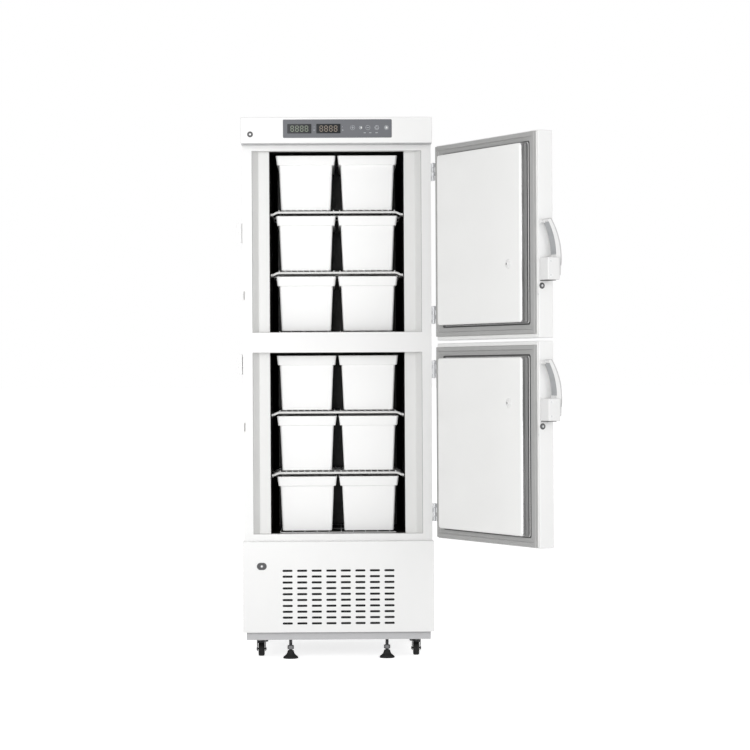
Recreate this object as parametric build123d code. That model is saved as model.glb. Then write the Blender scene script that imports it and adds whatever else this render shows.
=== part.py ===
from build123d import *
import math
import os

# Upright laboratory freezer with two insulated doors, millimetres.
# The origin lies on the floor under the middle of the cabinet body.
# +X is to the right of someone facing the freezer, +Y points to its back, +Z is up.
# The doors are drawn closed and then swung open about their hinge pins.

# Circles are drawn with flats, which keeps so many small pieces light
ROD_SIDES = 12
DRUM_SIDES = 24
DRUM_FROM_R = 15.0

# Cabinet body
BODY_W = 660.0
BODY_D = 600.0
TOP_Z = 1882.0
SHEET = 1.0
FRAME_T = 1.2
DECK_Z = 370.0

# Front openings and cavities
OPENING_W = 592.0
OPENING_H = 635.0
SILL_Z = 431.0
MULLION_H = 70.0
THROAT_T = 2.0
THROAT_DEPTH = 36.0
THROAT_SLOPE = 20.0
CAVITY_W = 472.0
CAVITY_D = 497.0
CAVITY_CORNER = 18.0
LINER_T = 1.5

# Doors
DOOR_H = OPENING_H + 45.0
DOOR_T = 55.0
DOOR_GAP = 12.0
DOOR_OVERLAP_TOP = 14.0
DOOR_HINGE_INSET = 2.0
DOOR_EDGE = 2.0
DOOR_FLANGE_W = 12.0
OPEN_ANGLE = 118.0
DOOR_LINER_T = 2.0
PANEL_RISE = 35.0
PANEL_SIDE_MARGIN = 57.0
PANEL_OUTER_MARGIN = 38.0
PANEL_MULLION_MARGIN = 51.0
PANEL_EDGE = 4.0
GASKET_W = 27.0
GASKET_BASE_T = 4.0
GASKET_BULB_W = 16.0
GASKET_SIDE_MARGIN = 9.0
GASKET_OUTER_MARGIN = 4.0
GASKET_MULLION_MARGIN = 13.0
PORT_R = 16.0
PORT_RISE = 8.0
PORT_HOLE_R = 2.5
PORT_FROM_FREE_EDGE = 133.0
PORT_ABOVE_LATCH = 21.0

# Hinges
PIN_OUT = 8.0
PIN_FORWARD = 4.0
PIN_R = 2.5
KNUCKLE_R = 5.5
KNUCKLES = 4
KNUCKLE_GAP = 0.6
HINGE_H = 62.0
HINGE_INSET = 90.0
LEAF_T = 2.0
LEAF_L = 40.0
RUN = 0.05

# Latches, levers and door locks
LATCH_FROM_MIDDLE = 230.0
LATCH_W = 50.0
LATCH_D = 46.0
LATCH_H = 74.0
LATCH_SETBACK = 4.0
LATCH_EDGE = 3.0
LEVER_W = 31.0
LEVER_CLEAR = 1.0
LEVER_PIN_R = 3.0
LEVER_PIN_INSET = 10.0
LEVER_PIN_RISE = 18.0
LEVER_BOSS_R = 8.0
LEVER_SHELL = 5.0
LEVER_RIB = 5.0
LEVER_TIP_OUT = 24.0
LEVER_TIP_IN = 10.0
LEVER_BOW_OUT = 56.5
LEVER_BOW_IN = 38.0
LEVER_BOW_SHARE = 0.555
LEVER_LOW_OUT = 62.0
LEVER_LOW_IN = 43.0
LEVER_LOW_RISE = 10.0
LEVER_THROAT_RISE = 46.0
LEVER_FOOT_OUT = 60.0
LEVER_REACH = 164.0
LATCHED_ANGLE = 7.0
STRIKE_T = 3.0
STRIKE_H = 70.0
STRIKE_BASE_D = 30.0
STRIKE_OUT = 21.0
STRIKE_SETBACK = 5.0
STRIKE_ABOVE_LATCH = 155.0
HOOK_GAP = 0.5
HOOK_BITE = 3.0
HOOK_H = 8.0
HOOK_T = 4.0
HOOK_BELOW_TIP = 20.0
HOOK_LIFT = 7.0
LOCK_BELOW_LATCH = 55.0
LOCK_SETBACK = 12.0
LOCK_R = 7.0
LOCK_SLEEVE_R = 9.0
LOCK_RING_R = 10.0
LOCK_RING_T = 2.0
LOCK_LENGTH = 20.0
BOLT_INSET = 4.0
BOLT_T = 3.0
BOLT_W = 8.0
BOLT_R = 32.0
BOLT_TIP_RISE = 12.0
BOLT_SLOT_CLEAR = 1.0
BOLT_POCKET_D = 14.0

# Control fascia
PANEL_W = 665.0
FASCIA_H = 90.0
FASCIA_T = 2.5
FASCIA_EDGE = 2.0
OVERLAY_W = 378.0
OVERLAY_H = 64.0
OVERLAY_T = 1.5
OVERLAY_POCKET = 1.2
OVERLAY_CENTRE_X = 4.0
OVERLAY_DROP = 8.0
OVERLAY_CORNER_R = 4.0
WINDOW_W = 84.0
WINDOW_H = 33.0
WINDOW_T = 1.0
WINDOW_POCKET = 0.8
WINDOW_CENTRES_X = (-128.0, -27.0)
KEY_SWITCH_X = -299.0
KEY_SWITCH_Z = TOP_Z - 59.0
BARREL_R = 6.0
BEZEL_SHANK_R = 8.0
BEZEL_RING_R = 10.0
BEZEL_RISE = 2.0
BARREL_L = 18.0
KEYWAY_W = 1.6
KEYWAY_L = 8.0
KEYWAY_DEPTH = 3.0

# Grille panel
GRILLE_TOP_Z = 408.0
GRILLE_BOTTOM_Z = 94.0
GRILLE_T = 1.2
GRILLE_EDGE = 1.0
SLOT_L = 35.0
SLOT_H = 7.4
SLOT_COLUMNS = 8
SLOT_ROWS = 10
SLOT_PITCH_X = 50.5
SLOT_PITCH_Z = 20.3
SLOT_TOP_Z = 308.0
PANEL_LOCK_X = -266.0
PANEL_LOCK_Z = 324.0
PANEL_LOCK_OVAL_W = 34.0
PANEL_LOCK_OVAL_H = 25.0

# Rear panel
LOUVRE_L = 200.0
LOUVRE_H = 6.0
LOUVRE_ROWS = 6
LOUVRE_PITCH = 26.0
LOUVRE_TOP_Z = 320.0
LOUVRE_CENTRES_X = (-130.0, 130.0)
GLAND_X = 250.0
GLAND_Z = 150.0
GLAND_R = 9.0
GLAND_HOLE_R = 4.5
GLAND_L = 12.0

# Storage bins
BIN_RIM_W = 211.0
BIN_RIM_D = 440.0
BIN_COLLAR_H = 33.0
BIN_COLLAR_TAPER = 4.5
BIN_STEP = 6.5
BIN_BODY_TAPER = 7.0
BIN_WALL = 2.5
BIN_CORNER = 9.0
BIN_GAP = 7.0
BIN_FRONT_SETBACK = 30.0

# Shelves
ROWS = 3
ROW_PITCH = (OPENING_H + 4.0) / ROWS
BIN_H = ROW_PITCH - 21.0
BIN_LIFT = 0.3
WIRE_R = 2.0
RACK_WIRE_R = 1.5
WIRE_PITCH = 21.4
WIRES = 20
TUBE_R = 4.0
TUBES = 3
TUBE_OVERHANG = 7.0
TUBE_DROP = 8.0
TUBE_RUN_OUT = 15.0
RAIL_R = 4.0
RAIL_SHORT = 20.0
SHELF_BACK_GAP = 12.0
SHELF_LEAD = 4.0
LEDGE_W = 9.0
LEDGE_T = 4.0

# Base, castors and levelling feet
BASE_Z = 67.0
BASE_W = BODY_W - 20.0
BASE_SHEET = 2.0
BASE_FRONT_SETBACK = 14.0
BASE_BACK_SETBACK = 10.0
CASTOR_X = 272.0
FRONT_CASTOR_Y = -262.0
REAR_CASTOR_Y = 240.0
WHEEL_R = 25.0
WHEEL_W = 22.0
CASTOR_TRAIL = 20.0
FORK_T = 3.0
FORK_GAP = 1.5
AXLE_R = 3.0
STEM_R = 6.0
CASTOR_DISC_R = 20.0
CASTOR_DISC_T = 6.0
PAD_SIDE = 60.0
PAD_T = 3.0
FOOT_X = 168.0
FOOT_Y = -325.0
FOOT_R = 26.5
FOOT_NECK_R = 10.0
FOOT_H = 28.0
FOOT_STUD_R = 6.0
FOOT_NUT_AF = 20.0
FOOT_NUT_H = 14.0
FOOT_NUT_GAP = 4.0
FOOT_STUD_TOP = 100.0

# Cooling unit behind the grille
COMPRESSOR_X = 120.0
COMPRESSOR_Y = 120.0
COMPRESSOR_R = 75.0
COMPRESSOR_H = 190.0
COMPRESSOR_FOOT_H = 16.0
CONDENSER_X = -90.0
CONDENSER_Y = -245.0
CONDENSER_W = 300.0
CONDENSER_D = 70.0
CONDENSER_H = 250.0
CONDENSER_FINS = 11
CONDENSER_BENDS = 3
PLATE_T = 2.0
CONDENSER_TUBE_R = 5.0
FAN_R = 95.0
FAN_HUB_R = 22.0
FAN_BLADES = 5
FAN_DEPTH = 26.0
FAN_TIP_GAP = 8.0
MOTOR_R = 38.0
MOTOR_L = 60.0
SHAFT_R = 4.0

# Values worked out from the ones above
HALF_W = BODY_W / 2
FRONT_Y = -BODY_D / 2
BACK_Y = BODY_D / 2
DOOR_INNER_Y = FRONT_Y - DOOR_GAP
FACE_Y = DOOR_INNER_Y - DOOR_T
UPPER_SILL_Z = SILL_Z + OPENING_H + MULLION_H
UPPER_TOP_Z = UPPER_SILL_Z + OPENING_H
UPPER_DOOR_Z = UPPER_TOP_Z + DOOR_OVERLAP_TOP - DOOR_H
LOWER_DOOR_Z = SILL_Z - DOOR_OVERLAP_TOP - 2.0
MIDDLE_Z = (LOWER_DOOR_Z + DOOR_H + UPPER_DOOR_Z) / 2
DOOR_X0 = -HALF_W
DOOR_X1 = HALF_W - DOOR_HINGE_INSET
PIN_X = HALF_W + PIN_OUT
PIN_Y = FRONT_Y - PIN_FORWARD
SHOULDER_Y = FRONT_Y + THROAT_DEPTH
CAVITY_FRONT_Y = SHOULDER_Y + THROAT_T
CAVITY_BACK_Y = CAVITY_FRONT_Y + CAVITY_D
FASCIA_Z = TOP_Z - FASCIA_H
GASKET_FACE_Y = FRONT_Y - 0.3
BIN_FRONT_Y = CAVITY_FRONT_Y + BIN_FRONT_SETBACK
SHELF_FRONT_Y = BIN_FRONT_Y - SHELF_LEAD
RACK_H = 4 * RACK_WIRE_R
SHELF_BACK_Y = CAVITY_BACK_Y - SHELF_BACK_GAP
BASE_TOP_Z = GRILLE_BOTTOM_Z
BASE_FLOOR_Z = BASE_Z + BASE_SHEET
LATCH_CENTRES_Z = {"upper": MIDDLE_Z + LATCH_FROM_MIDDLE, "lower": MIDDLE_Z - LATCH_FROM_MIDDLE}
DOOR_BOTTOMS = {"upper": UPPER_DOOR_Z, "lower": LOWER_DOOR_Z}
OPENING_BOTTOMS = {"upper": UPPER_SILL_Z, "lower": SILL_Z}


def block(x0, x1, y0, y1, z0, z1):
    """A box between two corners."""
    size = Box(x1 - x0, y1 - y0, z1 - z0, align=(Align.MIN, Align.MIN, Align.MIN))
    return Pos(x0, y0, z0) * size


def sides_for(r):
    """How many flats stand for a circle of radius r."""
    return ROD_SIDES if r < DRUM_FROM_R else DRUM_SIDES


def rod_x(x0, x1, y, z, r):
    """A round rod along X, drawn with flats inside its true circle."""
    plane = Plane(origin=(x0, y, z), x_dir=(0, 1, 0), z_dir=(1, 0, 0))
    return extrude(plane * RegularPolygon(r, sides_for(r)), x1 - x0)


def rod_y(x, y0, y1, z, r):
    """A round rod along Y, drawn with flats inside its true circle."""
    plane = Plane(origin=(x, y0, z), x_dir=(1, 0, 0), z_dir=(0, 1, 0))
    return extrude(plane * RegularPolygon(r, sides_for(r)), y1 - y0)


def rod_z(x, y, z0, z1, r):
    """A round rod along Z, drawn with flats inside its true circle."""
    return Pos(x, y, z0) * extrude(RegularPolygon(r, sides_for(r)), z1 - z0)


def over_circle(r):
    """The corner radius of the polygon whose flats just clear a circle of radius r."""
    return r / math.cos(math.pi / sides_for(r))


def hole_x(x0, x1, y, z, r):
    """A round hole along X, drawn with flats outside its true circle, so that a rod runs free in it."""
    return rod_x(x0, x1, y, z, over_circle(r))


def hole_y(x, y0, y1, z, r):
    """A round hole along Y, drawn with flats outside its true circle."""
    return rod_y(x, y0, y1, z, over_circle(r))


def hole_z(x, y, z0, z1, r):
    """A round hole along Z, drawn with flats outside its true circle."""
    return rod_z(x, y, z0, z1, over_circle(r))


def bar_y(x, y0, y1, z, r, sides):
    """A bar along Y with flats above and below, so that many of them stay light."""
    plane = Plane(origin=(x, y0, z), x_dir=(1, 0, 0), z_dir=(0, 1, 0))
    return extrude(plane * flat_polygon(r, sides), y1 - y0)


def bar_x(x0, x1, y, z, r, sides):
    """A bar along X with flats above and below."""
    plane = Plane(origin=(x0, y, z), x_dir=(0, 1, 0), z_dir=(1, 0, 0))
    return extrude(plane * flat_polygon(r, sides), x1 - x0)


def flat_polygon(r, sides):
    """A polygon whose flats lie at a distance r from its centre, one of them on top."""
    turn = 90 - 180 / sides
    return RegularPolygon(r, sides, major_radius=False, rotation=turn)


def inside_cut(cut, wall):
    """The cut on the inner corner that keeps a wall's thickness behind an outer cut."""
    return cut - wall * (2 - math.sqrt(2))


def turned(points):
    """A solid turned about Z from radii and heights, lowest first, drawn with flats."""
    sides = sides_for(max(r for r, _ in points))
    bands = []
    for (r0, z0), (r1, z1) in zip(points, points[1:]):
        if z1 > z0:
            rings = [Pos(0, 0, z0) * RegularPolygon(r0, sides), Pos(0, 0, z1) * RegularPolygon(r1, sides)]
            bands.append(loft(rings, ruled=True))
    return grow(bands)


def plan(points, z0, z1):
    """A prism from an outline in plan view."""
    face = make_face(Polyline(*points, close=True))
    return Pos(0, 0, z0) * extrude(face, z1 - z0)


def edges_at_y(shape, y):
    """The edges that lie in one plane across Y."""
    return shape.edges().filter_by_position(Axis.Y, y - 0.01, y + 0.01)


def swing(shape):
    """Turns a piece of a door from closed to the open position."""
    turned = Pos(PIN_X, PIN_Y, 0) * Rot(0, 0, OPEN_ANGLE) * Pos(-PIN_X, -PIN_Y, 0) * shape
    return turned


def grow(solids):
    """Joins a list of solids into one shape."""
    first, rest = solids[0], solids[1:]
    return first.fuse(*rest) if rest else first


def save(name, *shapes):
    """Writes one sub-part, which may be a group of separate solids."""
    solids = [solid for shape in shapes for solid in shape.solids()]
    export_step(Compound(children=solids), f"parts/{name}.step")


# Cabinet


def cabinet_wrap():
    outer = block(-HALF_W, HALF_W, FRONT_Y + FRAME_T, BACK_Y - SHEET, BASE_TOP_Z, TOP_Z)
    top_edges = outer.edges().filter_by(Axis.Y).group_by(Axis.Z)[-1]
    outer = chamfer(top_edges, 3 * SHEET)
    inner = block(
        -HALF_W + SHEET, HALF_W - SHEET, FRONT_Y, BACK_Y, BASE_TOP_Z - SHEET, TOP_Z - SHEET
    )
    inner = chamfer(inner.edges().filter_by(Axis.Y).group_by(Axis.Z)[-1], 2 * SHEET)
    return outer - inner


def rear_panel():
    panel = block(-HALF_W, HALF_W, BACK_Y - SHEET, BACK_Y, BASE_TOP_Z, TOP_Z)
    slots = []
    for x in LOUVRE_CENTRES_X:
        for row in range(LOUVRE_ROWS):
            z = LOUVRE_TOP_Z - row * LOUVRE_PITCH
            half = LOUVRE_L / 2
            slots.append(block(x - half, x + half, BACK_Y - 2 * SHEET, BACK_Y + SHEET, z, z + LOUVRE_H))
    gland = rod_y(GLAND_X, BACK_Y - SHEET, BACK_Y + GLAND_L, GLAND_Z, GLAND_R)
    hole = hole_y(GLAND_X, BACK_Y - 2 * SHEET, BACK_Y + GLAND_L + 1, GLAND_Z, GLAND_HOLE_R)
    return panel.cut(*slots) + gland - hole


def front_frame():
    frame = block(-HALF_W, HALF_W, FRONT_Y, FRONT_Y + FRAME_T, DECK_Z, TOP_Z)
    half = OPENING_W / 2
    for z in OPENING_BOTTOMS.values():
        frame -= block(-half, half, FRONT_Y - 1, FRONT_Y + FRAME_T + 1, z, z + OPENING_H)
    for name in DOOR_BOTTOMS:
        frame -= frame_slot(name)
    return frame


def compressor_deck():
    half = HALF_W - SHEET
    return block(-half, half, FRONT_Y + FRAME_T, BACK_Y - SHEET, DECK_Z, DECK_Z + SHEET)


def throat_outline(side):
    """Plan outline of one side of the throat: a slope and then a shoulder that faces the door."""
    half, inner = OPENING_W / 2, CAVITY_W / 2
    toe = half - THROAT_SLOPE
    slope = math.hypot(THROAT_SLOPE, THROAT_DEPTH)
    back_shift = THROAT_T * slope / THROAT_SLOPE
    toe_shift = THROAT_T * (slope - THROAT_SLOPE) / THROAT_DEPTH
    points = [
        (half, FRONT_Y),
        (toe, SHOULDER_Y),
        (inner, SHOULDER_Y),
        (inner, CAVITY_FRONT_Y),
        (toe + toe_shift, CAVITY_FRONT_Y),
        (half, FRONT_Y + back_shift),
    ]
    return [(side * x, y) for x, y in points]


def throat_frame(z):
    half = OPENING_W / 2
    top = z + OPENING_H
    pieces = [plan(throat_outline(side), z, top) for side in (1, -1)]
    for low in (z - THROAT_T, top):
        pieces.append(block(-half, half, FRONT_Y + FRAME_T, CAVITY_FRONT_Y, low, low + THROAT_T))
    return grow(pieces)


def throat_pocket(z):
    """The space in the foam that one throat and its mouth take up."""
    half = OPENING_W / 2
    toe = half - THROAT_SLOPE
    slope = math.hypot(THROAT_SLOPE, THROAT_DEPTH)
    toe_shift = THROAT_T * (slope - THROAT_SLOPE) / THROAT_DEPTH
    back_shift = THROAT_T * slope / THROAT_SLOPE
    right = [(half, FRONT_Y), (half, FRONT_Y + back_shift), (toe + toe_shift, CAVITY_FRONT_Y)]
    left = [(-x, y) for x, y in reversed(right)]
    sides = plan(right + left, z, z + OPENING_H)
    plates = block(
        -half, half, FRONT_Y, CAVITY_FRONT_Y, z - THROAT_T, z + OPENING_H + THROAT_T
    )
    return sides + (plates - block(-half, half, FRONT_Y, CAVITY_FRONT_Y, z, z + OPENING_H))


def cavity_block(z, grown):
    """The cavity as a solid with round rear corners, grown on every closed side."""
    half = CAVITY_W / 2 + grown
    shape = block(-half, half, CAVITY_FRONT_Y, CAVITY_BACK_Y + grown, z - grown, z + OPENING_H + grown)
    corners = shape.edges().filter_by(Axis.Z).group_by(Axis.Y)[-1]
    return chamfer(corners, inside_cut(CAVITY_CORNER, -grown))


def ledge_top(shelf_z):
    """The height at which a shelf's rail rests on its ledge."""
    return shelf_z - 2 * WIRE_R - TUBE_R - TUBE_DROP - RAIL_R


def liner(z):
    shell = cavity_block(z, LINER_T) - cavity_block(z, 0)
    half = CAVITY_W / 2
    ledges = []
    for row in range(1, ROWS):
        top = ledge_top(z + RACK_H + row * ROW_PITCH)
        for side in (1, -1):
            x0, x1 = sorted((side * half, side * (half - LEDGE_W)))
            ledges.append(block(x0, x1, SHELF_FRONT_Y, SHELF_BACK_Y - RAIL_SHORT, top - LEDGE_T, top))
    return grow([shell] + ledges)


def bolt_slot(name, y0, y1):
    """A slot through which one door lock's hooked bolt swings, cut between two depths."""
    axis_y, z = lock_centre(name)
    x = DOOR_X0 + BOLT_INSET
    far = BOLT_R + BOLT_SLOT_CLEAR
    near = min(abs(y - axis_y) for y in (y0, y1))
    drop = math.sqrt(far ** 2 - near ** 2) if near < far else 0.0
    rise = BOLT_W / 2 + BOLT_SLOT_CLEAR
    return block(x - BOLT_SLOT_CLEAR, x + BOLT_T + BOLT_SLOT_CLEAR, y0, y1, z - drop - 1.0, z + rise)


def frame_slot(name):
    """The slot in the cabinet's front sheet that the bolt enters and hooks behind."""
    return bolt_slot(name, FRONT_Y, FRONT_Y + FRAME_T)


def bolt_pocket(name):
    """The hollow in the cabinet's foam behind that slot."""
    _, z = lock_centre(name)
    slot = frame_slot(name).bounding_box()
    top = z + BOLT_TIP_RISE + 3.0
    y0 = FRONT_Y + FRAME_T
    return block(slot.min.X, slot.max.X, y0, y0 + BOLT_POCKET_D, slot.min.Z, top)


def foam_body():
    half = HALF_W - SHEET
    foam = block(-half, half, FRONT_Y + FRAME_T, BACK_Y - SHEET, DECK_Z + SHEET, TOP_Z - SHEET)
    foam = chamfer(foam.edges().filter_by(Axis.Y).group_by(Axis.Z)[-1], 2 * SHEET)
    for z in OPENING_BOTTOMS.values():
        foam -= cavity_block(z, LINER_T)
        foam -= throat_pocket(z)
    for name in DOOR_BOTTOMS:
        foam -= bolt_pocket(name)
    return foam


# Control fascia


def control_fascia():
    half = PANEL_W / 2
    outer = block(-half, half, FACE_Y, FRONT_Y, FASCIA_Z, TOP_Z)
    outer = chamfer(edges_at_y(outer, FACE_Y), FASCIA_EDGE)
    t = FASCIA_T
    inner = block(-half + t, half - t, FACE_Y + t, FRONT_Y + 1, FASCIA_Z + t, TOP_Z - t)
    hole = hole_y(KEY_SWITCH_X, FACE_Y - 1, FACE_Y + t + 1, KEY_SWITCH_Z, BEZEL_SHANK_R)
    return outer - inner - overlay_plate(OVERLAY_POCKET, 1.0) - hole


def overlay_plate(depth, proud):
    """The rounded plate of the control overlay, or the pocket it sits in."""
    z = TOP_Z - OVERLAY_DROP - OVERLAY_H / 2
    plane = Plane(origin=(OVERLAY_CENTRE_X, FACE_Y + depth, z), x_dir=(1, 0, 0), z_dir=(0, -1, 0))
    outline = RectangleRounded(OVERLAY_W, OVERLAY_H, OVERLAY_CORNER_R)
    return extrude(plane * outline, depth + proud)


def window_plate(x, depth, proud):
    z = TOP_Z - OVERLAY_DROP - OVERLAY_H / 2
    face = FACE_Y - (OVERLAY_T - OVERLAY_POCKET)
    half_w, half_h = WINDOW_W / 2, WINDOW_H / 2
    return block(x - half_w, x + half_w, face - proud, face + depth, z - half_h, z + half_h)


def control_overlay():
    overlay = overlay_plate(OVERLAY_POCKET, OVERLAY_T - OVERLAY_POCKET)
    for x in WINDOW_CENTRES_X:
        overlay -= window_plate(x, WINDOW_POCKET, 1.0)
    return overlay


def display_windows():
    return [window_plate(x, WINDOW_POCKET, WINDOW_T - WINDOW_POCKET) for x in WINDOW_CENTRES_X]


def lock_bezel(x, z, flange):
    """A flange with a shank that passes through the panel and carries the barrel."""
    shank = rod_y(x, FACE_Y, FACE_Y + BARREL_L, z, BEZEL_SHANK_R)
    bore = hole_y(x, FACE_Y - BEZEL_RISE - 1, FACE_Y + BARREL_L + 1, z, BARREL_R + RUN)
    return flange + shank - bore


def key_switch_bezel():
    ring = rod_y(KEY_SWITCH_X, FACE_Y - BEZEL_RISE, FACE_Y, KEY_SWITCH_Z, BEZEL_RING_R)
    ring = chamfer(edges_at_y(ring, FACE_Y - BEZEL_RISE), BEZEL_RISE / 3)
    return lock_bezel(KEY_SWITCH_X, KEY_SWITCH_Z, ring)


def panel_lock_bezel():
    plane = Plane(origin=(PANEL_LOCK_X, FACE_Y, PANEL_LOCK_Z), x_dir=(1, 0, 0), z_dir=(0, -1, 0))
    oval = extrude(plane * slot_outline(PANEL_LOCK_OVAL_W, PANEL_LOCK_OVAL_H), BEZEL_RISE)
    return lock_bezel(PANEL_LOCK_X, PANEL_LOCK_Z, oval)


def face_barrel(x, z):
    """A key barrel that faces the front."""
    face = FACE_Y - BEZEL_RISE
    barrel = rod_y(x, face, FACE_Y + BARREL_L, z, BARREL_R)
    half_w, half_l = KEYWAY_W / 2, KEYWAY_L / 2
    keyway = block(x - half_w, x + half_w, face - 1, face + KEYWAY_DEPTH, z - half_l, z + half_l)
    return barrel - keyway


# Grille panel


def slot_outline(length, height):
    """A slot seen from the front, with each end drawn as three flats."""
    half_l, half_h = length / 2, height / 2
    flat = half_h * (math.sqrt(2) - 1)
    quarter = [(half_l, flat), (half_l - half_h + flat, half_h)]
    upper = quarter + [(-x, z) for x, z in reversed(quarter)]
    return make_face(Polyline(*upper, *[(-x, -z) for x, z in upper], close=True))


def grille_panel():
    half = PANEL_W / 2
    outer = block(-half, half, FACE_Y, FRONT_Y, GRILLE_BOTTOM_Z, GRILLE_TOP_Z)
    outer = chamfer(edges_at_y(outer, FACE_Y), GRILLE_EDGE)
    t = GRILLE_T
    inner = block(
        -half + t, half - t, FACE_Y + t, FRONT_Y + 1, GRILLE_BOTTOM_Z - 1, GRILLE_TOP_Z - t
    )
    hole = hole_y(PANEL_LOCK_X, FACE_Y - 1, FACE_Y + t + 1, PANEL_LOCK_Z, BEZEL_SHANK_R)
    panel = outer - inner - hole
    slots = []
    first_x = -(SLOT_COLUMNS - 1) * SLOT_PITCH_X / 2
    for column in range(SLOT_COLUMNS):
        for row in range(SLOT_ROWS):
            x = first_x + column * SLOT_PITCH_X
            z = SLOT_TOP_Z - row * SLOT_PITCH_Z
            plane = Plane(origin=(x, FACE_Y + t + 1, z), x_dir=(1, 0, 0), z_dir=(0, -1, 0))
            slots.append(extrude(plane * slot_outline(SLOT_L, SLOT_H), t + 2))
    return panel.cut(*slots)


# Shelves and bins


def shelf_tube(y, z):
    """One cooling tube across a shelf, with both ends bent down to the rails."""
    flat = wire_places()[-1] + TUBE_OVERHANG
    end = flat + TUBE_RUN_OUT
    points = [(-end, z - TUBE_DROP), (-flat, z), (flat, z), (end, z - TUBE_DROP)]
    plane = Plane(origin=(0, y - TUBE_R, 0), x_dir=(1, 0, 0), z_dir=(0, -1, 0))
    over = [(x, height + TUBE_R) for x, height in points]
    under = [(x, height - TUBE_R) for x, height in reversed(points)]
    return extrude(plane * make_face(Polyline(*over, *under, close=True)), -2 * TUBE_R)


def wire_places(step=1):
    """The places of a shelf's wires across its width, or of every step-th one."""
    first = -(WIRES - 1) * WIRE_PITCH / 2
    return [first + n * WIRE_PITCH for n in range(0, WIRES, step)]


def spread(first, last, count):
    """Evenly spaced places from first to last."""
    return [first + n * (last - first) / (count - 1) for n in range(count)]


def shelf(z):
    """A cooling shelf whose wires lie on its tubes with their tops at z."""
    tube_z = z - 2 * WIRE_R - TUBE_R
    wires = [bar_y(x, SHELF_FRONT_Y, SHELF_BACK_Y, z - WIRE_R, WIRE_R, 4) for x in wire_places()]
    back = SHELF_BACK_Y - RAIL_SHORT - TUBE_R
    tubes = [shelf_tube(y, tube_z) for y in spread(SHELF_FRONT_Y + TUBE_R, back, TUBES)]
    rail_x = wire_places()[-1] + TUBE_OVERHANG + TUBE_RUN_OUT + RAIL_R / math.cos(math.pi / 6)
    rail_z = tube_z - TUBE_DROP
    rails = [
        bar_y(side * rail_x, SHELF_FRONT_Y, SHELF_BACK_Y - RAIL_SHORT, rail_z, RAIL_R, 6)
        for side in (1, -1)
    ]
    return wires + tubes + rails


def floor_rack(z):
    """A flat wire rack that lies on the cavity floor, with its top at z."""
    wires = [
        bar_y(x, SHELF_FRONT_Y, SHELF_BACK_Y, z - RACK_WIRE_R, RACK_WIRE_R, 4)
        for x in wire_places(step=2)
    ]
    reach = wire_places()[-1]
    places = spread(SHELF_FRONT_Y + TUBE_R, SHELF_BACK_Y - TUBE_R, 3)
    crosses = [bar_x(-reach, reach, y, z - 3 * RACK_WIRE_R, RACK_WIRE_R, 4) for y in places]
    return wires + crosses


def shelf_set(z):
    floor_z = z + RACK_H
    shelves = [shelf(floor_z + row * ROW_PITCH) for row in range(1, ROWS)]
    return floor_rack(floor_z) + sum(shelves, [])


def bin_loft(inset, z0, z1, size0, size1):
    """A tapered box with cut corners, inset on every side."""
    sections = []
    for z, (w, d) in ((z0, size0), (z1, size1)):
        outline = Rectangle(w - 2 * inset, d - 2 * inset)
        outline = chamfer(outline.vertices(), inside_cut(BIN_CORNER, inset))
        sections.append(Pos(0, 0, z) * outline)
    return loft(sections, ruled=True)


def storage_bin():
    """A tapered bin with a wide stepped collar, standing on z = 0 about its own centre."""
    rim = (BIN_RIM_W, BIN_RIM_D)
    collar_foot = tuple(s - 2 * BIN_COLLAR_TAPER for s in rim)
    body_top = tuple(s - 2 * BIN_STEP for s in collar_foot)
    foot = tuple(s - 2 * BIN_BODY_TAPER for s in body_top)
    step_z = BIN_H - BIN_COLLAR_H
    outside = bin_loft(0, 0, step_z, foot, body_top) + bin_loft(0, step_z, BIN_H, collar_foot, rim)
    inside_step = step_z + BIN_WALL
    inside = bin_loft(BIN_WALL, BIN_WALL, inside_step, foot, body_top)
    inside += bin_loft(BIN_WALL, inside_step, BIN_H, collar_foot, rim)
    return outside - inside


def bin_places():
    """Every bin's name and the place where it stands."""
    places = {}
    rows = ("bottom", "middle", "top")
    offset = (BIN_RIM_W + BIN_GAP) / 2
    y = BIN_FRONT_Y + BIN_RIM_D / 2
    for part, sill in OPENING_BOTTOMS.items():
        for row, row_name in enumerate(rows):
            z = sill + RACK_H + row * ROW_PITCH + BIN_LIFT
            for side_name, x in (("left", -offset), ("right", offset)):
                places[f"{part}_{row_name}_bin_{side_name}"] = (x, y, z)
    return places


# Doors, drawn closed


def door_skin(name):
    z0 = DOOR_BOTTOMS[name]
    z1 = z0 + DOOR_H
    outer = block(DOOR_X0, DOOR_X1, FACE_Y, DOOR_INNER_Y, z0, z1)
    outer = chamfer(edges_at_y(outer, FACE_Y), DOOR_EDGE)
    t, w = SHEET, DOOR_FLANGE_W
    inner = block(
        DOOR_X0 + t, DOOR_X1 - t, FACE_Y + t, DOOR_INNER_Y - t, z0 + t, z1 - t
    )
    inner = chamfer(edges_at_y(inner, FACE_Y + t), inside_cut(DOOR_EDGE, t))
    window = block(
        DOOR_X0 + w, DOOR_X1 - w, DOOR_INNER_Y - 2 * t, DOOR_INNER_Y + t, z0 + w, z1 - w
    )
    slot = bolt_slot(name, DOOR_INNER_Y - t, DOOR_INNER_Y)
    return outer - inner - window - lock_hole(name) - slot


def lock_centre(name):
    """The door lock's axis, as (y, z)."""
    return DOOR_INNER_Y - LOCK_SETBACK, LATCH_CENTRES_Z[name] - LOCK_BELOW_LATCH


def lock_hole(name):
    y, z = lock_centre(name)
    return hole_x(DOOR_X0 - 1, DOOR_X0 + LOCK_LENGTH + 1, y, z, LOCK_SLEEVE_R)


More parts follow.
